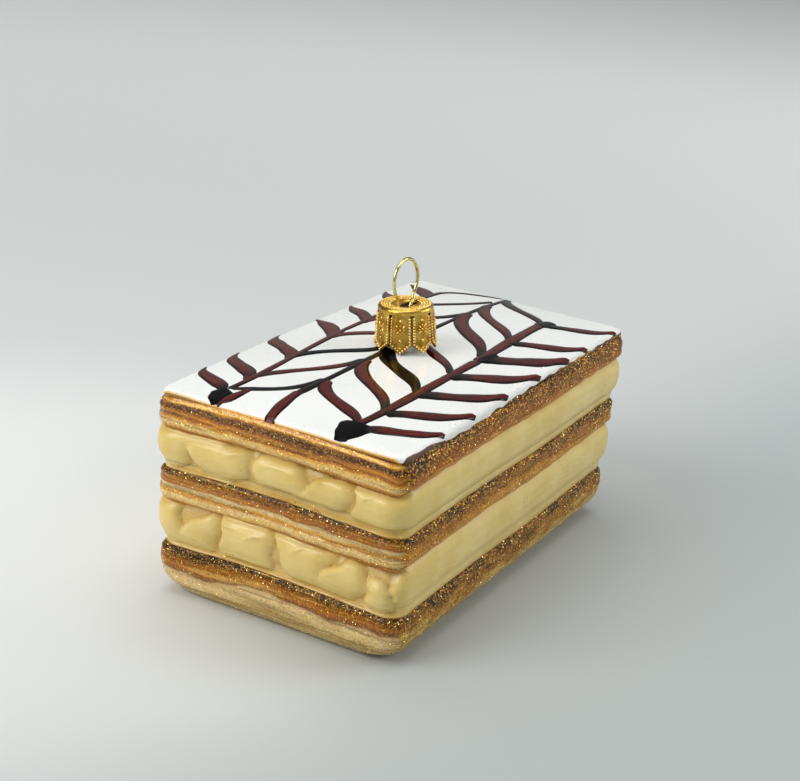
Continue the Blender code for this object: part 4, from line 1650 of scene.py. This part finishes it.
@dataclass(frozen=True)
class BrassDrawn:
    """Pale drawn brass wire, with fine marks along it."""

    name: str
    bright: Colour = tone(232, 220, 150)
    deep: Colour = tone(168, 150, 76)

    def make(self) -> bpy.types.Material:
        """Builds the material."""
        paint = Paint(self.name)
        place = paint.place()
        cloud = paint.noise(place, 240.0, 2.0)
        colour = paint.mix(cloud.rise(0.45, 0.75), self.bright, self.deep)
        return paint.feed(
            Base_Color=colour,
            Roughness=0.12 + (cloud - 0.5) * 0.10,
            Metallic=1.0 - cloud.rise(0.78, 0.9) * 0.3,
            Normal=paint.bump(cloud, 0.00002),
        )


@dataclass(frozen=True)
class NeckGlass:
    """The painted neck: white enamel, dulled by shade and a little silver."""

    name: str
    white: Colour = tone(214, 214, 208)
    # painted shade from the cap, with a little silver
    shade_and_silver: Colour = tone(160, 156, 146)

    def make(self) -> bpy.types.Material:
        """Builds the material."""
        paint = Paint(self.name)
        shade_and_silver_patches = paint.noise(paint.place(), 600.0, 3.0)
        # Painted shade: the neck's white is dulled toward greyer patches for the shade under the cap, with a
        # little silver.
        colour = paint.mix(shade_and_silver_patches.rise(0.45, 0.7), self.white, self.shade_and_silver)
        return paint.feed(
            Base_Color=colour, Roughness=0.3 + shade_and_silver_patches * 0.2, Normal=paint.bump(shade_and_silver_patches, 0.00005)
        )


# --- Glitter --------------------------------------------------------------------------------
@dataclass(frozen=True)
class FlakeFoil:
    """Metal foil flakes, each with a tint of its own."""

    name: str
    stops: Stops
    roughness: float = 0.14

    def make(self) -> bpy.types.Material:
        """Builds the material."""
        paint = Paint(self.name, Metallic=0.9)
        tint = paint.attribute("tint")
        gloss = self.roughness + (tint - 0.5) * 0.1
        return paint.feed(Base_Color=paint.ramp(tint, self.stops), Roughness=gloss)


@dataclass
class Glitter:
    """One kind of glitter, scattered over the bands by their own density."""

    name: str
    seed: int
    per_square_metre: float
    size: float
    spread: float = 0.45

    def flake(self) -> bpy.types.Object:
        """One chip of foil: a low three-sided point, closed underneath."""
        bpy.ops.mesh.primitive_cone_add(vertices=3, radius1=1.0, radius2=0.0, depth=0.45)
        return Bench.name(f"{self.name}_flake")

    def build(
        self, grounds: Sequence[bpy.types.Object], material: bpy.types.Material
    ) -> bpy.types.Object:
        """Scatters the flakes over the grounds and makes them one mesh."""
        flake = self.flake()
        bpy.ops.mesh.primitive_plane_add(size=0.001)
        piece = Bench.name(self.name)
        tree = bpy.data.node_groups.new(f"{self.name}_scatter", "GeometryNodeTree")
        tree.interface.new_socket("Geometry", in_out="OUTPUT", socket_type="NodeSocketGeometry")
        sheet = ScatterSheet(tree)
        ground = sheet.add("GeometryNodeJoinGeometry")
        for source in grounds:
            sheet.link(sheet.add("GeometryNodeObjectInfo", {}, {"Object": source}), "Geometry", ground, 0)
        density = sheet.add("GeometryNodeInputNamedAttribute", {}, {"Name": "glitter"})
        scaled = sheet.add("ShaderNodeMath", {"operation": "MULTIPLY"}, {1: self.per_square_metre})
        sheet.link(density, "Attribute", scaled, 0)
        points = sheet.add("GeometryNodeDistributePointsOnFaces", {}, {"Seed": self.seed})
        sheet.link(ground, 0, points, "Mesh")
        sheet.link(scaled, 0, points, "Density")
        tumble = sheet.random("FLOAT_VECTOR", (-0.8, -0.8, -3.1), (0.8, 0.8, 3.1), self.seed + 1)
        turned = sheet.add("FunctionNodeRotateRotation", {"rotation_space": "LOCAL"})
        sheet.link(points, "Rotation", turned, 0)
        euler = sheet.add("FunctionNodeEulerToRotation")
        sheet.link(tumble, 0, euler, 0)
        sheet.link(euler, 0, turned, 1)
        low, high = self.size * (1 - self.spread), self.size * (1 + self.spread)
        scale = sheet.random("FLOAT", low, high, self.seed + 2)
        chip = sheet.add("GeometryNodeObjectInfo", {}, {"Object": flake})
        placed = sheet.add("GeometryNodeInstanceOnPoints")
        sheet.link(points, "Points", placed, "Points")
        sheet.link(chip, "Geometry", placed, "Instance")
        sheet.link(turned, 0, placed, "Rotation")
        sheet.link(scale, 1, placed, "Scale")
        tint = sheet.random("FLOAT", 0.0, 1.0, self.seed + 3)
        named = sheet.add(
            "GeometryNodeStoreNamedAttribute",
            {"data_type": "FLOAT", "domain": "INSTANCE"},
            {"Name": "tint"},
        )
        sheet.link(placed, 0, named, "Geometry")
        sheet.link(tint, 1, named, "Value")
        real = sheet.add("GeometryNodeRealizeInstances")
        sheet.link(named, 0, real, 0)
        out = sheet.add("NodeGroupOutput")
        sheet.link(real, 0, out, 0)
        Bench.apply(piece, "NODES", node_group=tree)
        bpy.data.objects.remove(flake)
        return Bench.finish(piece, material, Slot.GLITTER, "glass_body")


class ScatterSheet:
    """Writes the scattering nodes of a node group."""

    def __init__(self, tree: bpy.types.NodeTree) -> None:
        """Works on one node group."""
        self.tree = tree

    def add(
        self, kind: str, settings: dict | None = None, values: dict | None = None
    ) -> bpy.types.Node:
        """Adds a node with its settings and the values of its sockets."""
        made = self.tree.nodes.new(kind)
        for key, value in (settings or {}).items():
            setattr(made, key, value)
        for key, value in (values or {}).items():
            made.inputs[key].default_value = value
        return made

    def link(
        self, source: bpy.types.Node, output: str | int, target: bpy.types.Node, socket: str | int
    ) -> None:
        """Links one node's output to another's input."""
        self.tree.links.new(source.outputs[output], target.inputs[socket])

    def random(
        self, kind: str, low: float | Sequence[float], high: float | Sequence[float], seed: int
    ) -> bpy.types.Node:
        """A random number or vector for each point."""
        made = self.add("FunctionNodeRandomValue", {"data_type": kind})
        first = 0 if kind == "FLOAT_VECTOR" else 2
        made.inputs[first].default_value = low
        made.inputs[first + 1].default_value = high
        made.inputs["Seed"].default_value = seed
        return made


# --- Studio ---------------------------------------------------------------------------------
@dataclass
class Studio:
    """The floor, the lights and the camera."""

    floor_colour: Colour = tone(204, 208, 208)
    floor_shade: Colour = tone(176, 182, 182)
    floor_light: Colour = tone(233, 235, 234)
    bright_spot: tuple[float, float, float] = (-0.045, 0.075, 0.0)
    camera_target: tuple[float, float, float] = (0.04162, 0.02351, 0.01635)
    camera_distance: float = 0.38198
    azimuth: float = -62.63
    elevation: float = 19.77
    roll: float = 5.41
    lens: float = 75.8

    def build_floor(self) -> None:
        """A wide pale dish: flat in the middle, curving up a long way out."""
        bpy.ops.mesh.primitive_circle_add(vertices=96, radius=1.4, fill_type="NGON")
        floor = Bench.name("floor")
        Bench.open(floor)
        Bench.select(floor, Kind.EDGES, lambda e: e.is_boundary)
        radius = 1.4
        for step in range(1, 9):
            angle = 0.5 * math.pi * step / 8
            wider = 1.4 + 0.9 * math.sin(angle)
            bpy.ops.mesh.extrude_edges_move()
            bpy.ops.transform.resize(
                value=(wider / radius, wider / radius, 1.0), center_override=(0.0, 0.0, 0.0)
            )
            rise = 0.9 * (math.cos(angle - math.pi / 16) - math.cos(angle)) if step > 1 else 0.02
            bpy.ops.transform.translate(value=(0.0, 0.0, rise))
            radius = wider
        Bench.clear()
        Bench.smooth(floor, 60.0)
        paint = Paint("studio floor", Roughness=0.8, Specular_IOR_Level=0.2)
        place = paint.place()
        away = paint.node(
            "ShaderNodeVectorMath", {"operation": "DISTANCE"}, {0: place, 1: self.bright_spot}, "Value"
        )
        across = paint.part(place, "Y") + paint.part(place, "X") * 0.15
        colour = paint.mix(across.rise(0.05, -0.06), self.floor_colour, self.floor_shade)
        colour = paint.mix(away.rise(0.13, 0.01) * 0.9, colour, self.floor_light)
        colour = paint.mix(away.rise(0.20, 0.75), colour, self.floor_light)
        floor.data.materials.append(paint.feed(Base_Color=colour))

    @staticmethod
    def lamp(
        title: str, place: Vector, aim: Vector, size: float, watts: float, colour: Colour
    ) -> None:
        """A square area light at a place, facing a point."""
        bpy.ops.object.light_add(type="AREA", location=place)
        lamp = bpy.context.active_object
        lamp.name = title
        lamp.data.size = size
        lamp.data.energy = watts
        lamp.data.color = colour
        lamp.rotation_mode = "QUATERNION"
        lamp.rotation_quaternion = (aim - place).to_track_quat("-Z", "Y")

    def build_lights(self) -> None:
        """Soft daylight from above and behind on the left, and a weak fill."""
        aim = Vector((0.0, 0.0, 0.02))
        self.lamp("sky", Vector((0.05, 0.10, 1.1)), aim, 1.0, 6.6, (1.0, 0.99, 0.97))
        self.lamp("window", Vector((-0.60, 0.34, 0.50)), aim, 0.5, 3.8, (1.0, 0.98, 0.95))
        self.lamp("fill", Vector((0.60, -0.80, 0.50)), aim, 0.6, 4.3, (1.0, 0.99, 0.97))
        world = bpy.data.worlds.new("studio air")
        world.use_nodes = True
        air = world.node_tree.nodes["Background"]
        air.inputs["Color"].default_value = (*tone(206, 212, 214), 1.0)
        air.inputs["Strength"].default_value = 0.42
        bpy.context.scene.world = world
        bpy.context.scene.view_settings.view_transform = "Standard"

    def build_camera(self) -> None:
        """A camera that looks down at the near corner, turned a little about its view."""
        azimuth, elevation = math.radians(self.azimuth), math.radians(self.elevation)
        back = Vector(
            (
                math.sin(azimuth) * math.cos(elevation),
                -math.cos(azimuth) * math.cos(elevation),
                math.sin(elevation),
            )
        )
        place = Vector(self.camera_target) + self.camera_distance * back
        bpy.ops.object.camera_add(location=place)
        camera = bpy.context.active_object
        camera.data.lens = self.lens
        camera.data.clip_start, camera.data.clip_end = 0.01, 20.0
        camera.rotation_mode = "QUATERNION"
        roll = Quaternion((0.0, 0.0, 1.0), math.radians(self.roll))
        camera.rotation_quaternion = (-back).to_track_quat("-Z", "Y") @ roll
        bpy.context.scene.camera = camera


# --- The ornament ---------------------------------------------------------------------------
GROOVE = (0.0, 0.0, FORM.corner)
PASTRY_RINGS: tuple[Ring, ...] = (
    (0.00, *GROOVE),
    (0.07, 0.00055, 0.00052, FORM.corner),
    (0.20, 0.00080, 0.00080, FORM.corner),
    (0.50, 0.00066, 0.00070, FORM.corner),
    (0.80, 0.00074, 0.00080, FORM.corner),
    (0.94, 0.00048, 0.00048, FORM.corner),
    (1.00, *GROOVE),
)
TOP_PASTRY_RINGS: tuple[Ring, ...] = (
    (0.00, *GROOVE),
    (0.07, 0.00052, 0.00050, FORM.corner),
    (0.20, 0.00078, 0.00080, FORM.corner),
    (0.50, 0.00066, 0.00078, FORM.corner),
    (0.74, 0.00070, 0.00060, FORM.corner),
    (0.86, 0.00068, 0.00010, FORM.corner),
    (0.94, 0.00045, -0.00030, FORM.corner),
    (1.00, 0.00, -0.00040, FORM.corner),
)
CREAM_CORNER = 0.0042
CREAM_RINGS: tuple[Ring, ...] = (
    (0.00, *GROOVE),
    (0.10, 0.0003, 0.0003, CREAM_CORNER),
    (0.24, 0.0005, 0.0005, CREAM_CORNER),
    (0.36, 0.0012, 0.0010, CREAM_CORNER),
    (0.58, 0.0014, 0.00115, CREAM_CORNER),
    (0.80, 0.0012, 0.00105, CREAM_CORNER),
    (0.94, 0.0006, 0.0006, CREAM_CORNER),
    (1.00, *GROOVE),
)
BASE_RINGS: tuple[Ring, ...] = (
    (0.00, -0.0024, -0.0050, 0.0060),
    (0.06, -0.0009, -0.0029, 0.0050),
    (0.16, 0.0000, -0.0015, 0.0042),
    (0.31, 0.0006, -0.0001, 0.0036),
    (0.53, 0.0009, 0.0008, FORM.corner),
    (0.80, 0.0009, 0.00085, FORM.corner),
    (0.94, 0.0006, 0.0005, FORM.corner),
    (1.00, *GROOVE),
)
UPPER_LOBES = (
    Lobe(-0.08, 0.150, 0.00, 1.03, 0.0, 0.10, 0.0030, 0.0030, 0.0030, 0.0013),
    Lobe(0.060, 0.330, 0.66, 1.06, -0.30, 0.0, 0.0016, 0.0030, 0.0012, 0.0013, 0.90),
    Lobe(0.152, 0.392, 0.03, 0.98, -0.05, 0.07, 0.0013, 0.0034, 0.0028, 0.0017),
    Lobe(0.420, 0.632, 0.24, 0.99, 0.00, 0.00, 0.0008, 0.0026, 0.0012, 0.0014),
    Lobe(0.614, 0.806, 0.20, 1.00, 0.20, 0.02, 0.0008, 0.0028, 0.0012, 0.0014),
    Lobe(0.815, 1.080, 0.14, 1.00, 0.00, 0.00, 0.0006, 0.0020, 0.0012, 0.0013),
)
UPPER_TUCKS = (
    Tuck(0.355, 0.86, 0.0022, 0.16),
    Tuck(0.500, 0.83, 0.0026, 0.10, 0.00022),
    Tuck(0.690, 0.84, 0.0014, 0.75, 0.00026),
    Tuck(0.870, 0.82, 0.0013, 0.45),
)
LOWER_LOBES = (
    Lobe(-0.08, 0.110, 0.04, 1.04, 0.0, 0.00, 0.0030, 0.0016, 0.0026, 0.0013),
    Lobe(0.112, 0.268, 0.08, 1.00, 0.22, 0.00, 0.0009, 0.0028, 0.0024, 0.0014),
    Lobe(0.272, 0.500, 0.10, 1.01, 0.00, -0.02, 0.0007, 0.0022, 0.0014, 0.0012),
    Lobe(0.524, 0.728, 0.09, 1.02, -0.10, 0.06, 0.0011, 0.0032, 0.0020, 0.0013),
    Lobe(0.702, 0.878, 0.09, 1.00, 0.20, 0.02, 0.0011, 0.0024, 0.0020, 0.0014),
    Lobe(0.866, 0.984, 0.04, 0.80, 0.00, 0.00, 0.0026, 0.0024, 0.0028, 0.0028, 1.05),
    Lobe(0.975, 1.080, 0.03, 1.04, 0.00, 0.00, 0.0012, 0.0020, 0.0016, 0.0014, 0.92),
)
LOWER_TUCKS = (
    Tuck(0.315, 0.85, 0.0016, -0.10),
    Tuck(0.425, 0.80, 0.0024, 0.35),
    Tuck(0.603, 0.83, 0.0013, 0.65, 0.00042),
    Tuck(0.780, 0.84, 0.0018, 0.35, 0.00022),
)
TOP_LACQUER = PastryLacquer(
    "pastry lacquer, top",
    end_stops=(
        (0.00, tone(150, 84, 14)),
        (0.08, tone(192, 118, 24)),
        (0.13, tone(220, 158, 64)),
        (0.19, tone(244, 208, 140)),
        (0.32, tone(238, 194, 110)),
        (0.38, tone(206, 128, 24)),
        (0.44, tone(146, 74, 4)),
        (0.51, tone(236, 156, 32)),
        (0.59, tone(198, 112, 10)),
        (0.67, tone(98, 46, 2)),
        (0.80, tone(88, 40, 2)),
        (0.86, tone(198, 116, 16)),
        # Partly painted highlight: amber lacquer on the top ridge, painted brighter for the light that it
        # catches.
        (0.93, tone(252, 196, 84)),
        (0.98, tone(190, 112, 22)),
    ),
    side_stops=(
        (0.00, tone(232, 156, 44)),
        (0.16, tone(190, 110, 22)),
        (0.40, tone(148, 76, 10)),
        (0.72, tone(112, 50, 5)),
        (0.92, tone(58, 28, 6)),
        (1.00, tone(36, 18, 6)),
    ),
)
MIDDLE_LACQUER = PastryLacquer(
    "pastry lacquer, middle",
    end_stops=(
        (0.00, tone(160, 92, 18)),
        (0.08, tone(186, 112, 26)),
        (0.14, tone(234, 194, 120)),
        (0.28, tone(242, 208, 146)),
        (0.36, tone(214, 144, 42)),
        (0.43, tone(230, 176, 82)),
        (0.50, tone(246, 216, 158)),
        (0.58, tone(240, 204, 136)),
        (0.64, tone(150, 82, 12)),
        (0.70, tone(192, 112, 18)),
        (0.77, tone(132, 72, 8)),
        (0.82, tone(176, 104, 18)),
        (0.88, tone(128, 70, 10)),
        (0.94, tone(92, 50, 8)),
        (0.99, tone(46, 24, 5)),
    ),
    side_stops=(
        (0.00, tone(232, 172, 74)),
        (0.25, tone(208, 142, 48)),
        (0.55, tone(164, 98, 24)),
        (0.80, tone(124, 66, 10)),
        (0.94, tone(60, 34, 10)),
        (1.00, tone(40, 22, 8)),
    ),
    glossy_to=0.84,
)
BASE_LACQUER = PastryLacquer(
    "pastry lacquer, base",
    end_stops=(
        (0.00, tone(196, 166, 92)),
        (0.16, tone(220, 194, 124)),
        (0.26, tone(206, 166, 84)),
        (0.34, tone(228, 202, 136)),
        (0.50, tone(236, 208, 150)),
        (0.58, tone(228, 190, 132)),
        (0.63, tone(128, 74, 34)),
        (0.69, tone(150, 84, 16)),
        (0.74, tone(188, 112, 20)),
        (0.79, tone(140, 78, 12)),
        (0.84, tone(178, 104, 18)),
        (0.90, tone(112, 60, 10)),
        (0.95, tone(78, 42, 8)),
        (0.99, tone(38, 20, 6)),
    ),
    side_stops=(
        (0.00, tone(214, 186, 112)),
        (0.30, tone(226, 198, 122)),
        (0.50, tone(214, 176, 94)),
        (0.62, tone(168, 112, 40)),
        (0.80, tone(138, 84, 22)),
        (0.94, tone(74, 44, 12)),
        (1.00, tone(40, 24, 8)),
    ),
    glossy_to=0.80,
)
# The beads' gold: polished, and painted brighter than the plate as a highlight so that the beads show as bright
# dots.
POLISHED_HIGHLIT_GOLD = GoldPlate("polished gold", tone(255, 232, 150), tone(238, 192, 92), 0.13)
GOLD_FOIL = FlakeFoil(
    "gold glitter",
    ((0.0, tone(176, 104, 14)), (0.45, tone(244, 172, 44)), (0.85, tone(255, 224, 112))),
)
PEARL_FOIL = FlakeFoil(
    "pearl glitter",
    (
        (0.0, tone(255, 240, 196)),
        (0.30, tone(255, 220, 120)),
        (0.55, tone(196, 226, 110)),
        (0.75, tone(255, 206, 92)),
        (0.93, tone(250, 240, 214)),
    ),
    0.16,
)


def main() -> None:
    """Builds the studio and every piece of the ornament, in order."""
    logging.basicConfig(level=logging.INFO, format="%(message)s")
    studio = Studio()
    studio.build_floor()
    studio.build_lights()
    studio.build_camera()
    bands = (
        (
            Pastry(
                "pastry_base",
                0.0,
                0.0103,
                11,
                BASE_RINGS,
                rows=30,
                tucked_bottom=False,
                ridges=((0.90, 0.07, 0.00022), (0.68, 0.10, 0.00030), (0.36, 0.16, 0.00036)),
                glitter_bands=((0.90, 0.14, 1.2), (0.30, 0.30, 0.8)),
            ),
            BASE_LACQUER,
            Slot.PASTRY,
        ),
        (
            Cream(
                "cream_lower",
                0.0103,
                0.0092,
                21,
                CREAM_RINGS,
                rows=40,
                width_cuts=190,
                top_side_lift=0.0010,
                side_line=0.00005,
                lobes=LOWER_LOBES,
                tucks=LOWER_TUCKS,
            ),
            CreamEnamel("cream enamel, lower", foot_shade_share=0.12),
            Slot.CREAM,
        ),
        (
            Pastry("pastry_middle", 0.0195, 0.0064, 31, PASTRY_RINGS, bottom_side_lift=0.0010),
            MIDDLE_LACQUER,
            Slot.PASTRY,
        ),
        (
            Cream(
                "cream_upper",
                0.0259,
                0.0081,
                41,
                CREAM_RINGS,
                rows=36,
                width_cuts=190,
                top_side_lift=0.0009,
                lobes=UPPER_LOBES,
                tucks=UPPER_TUCKS,
            ),
            CreamEnamel("cream enamel, upper"),
            Slot.CREAM,
        ),
        (
            Pastry("pastry_top", 0.0340, 0.0061, 51, TOP_PASTRY_RINGS, bottom_side_lift=0.0009),
            TOP_LACQUER,
            Slot.PASTRY,
        ),
    )
    grounds = []
    for layer, lacquer, slot in bands:
        grounds.append(Bench.finish(layer.build(), lacquer.make(), slot, "glass_body"))
    icing = Icing()
    grounds.append(icing.build(IcingEnamel("icing enamel").make()))
    Feathering(icing).build(ChocolateEnamel("chocolate enamel").make())
    axis = NeckAxis()
    Neck(axis).build(NeckGlass("neck glass").make())
    cap = Cap(axis)
    cap.build(GoldPlate("gold plate").make(), POLISHED_HIGHLIT_GOLD.make())
    Wire(axis, cap.top).build(BrassDrawn("drawn brass").make())
    Glitter("glitter_gold", 5, 4.6e6, 0.00014).build(grounds, GOLD_FOIL.make())
    Glitter("glitter_pearl", 6, 2.2e6, 0.00014).build(grounds, PEARL_FOIL.make())


if __name__ == "__main__":
    main()
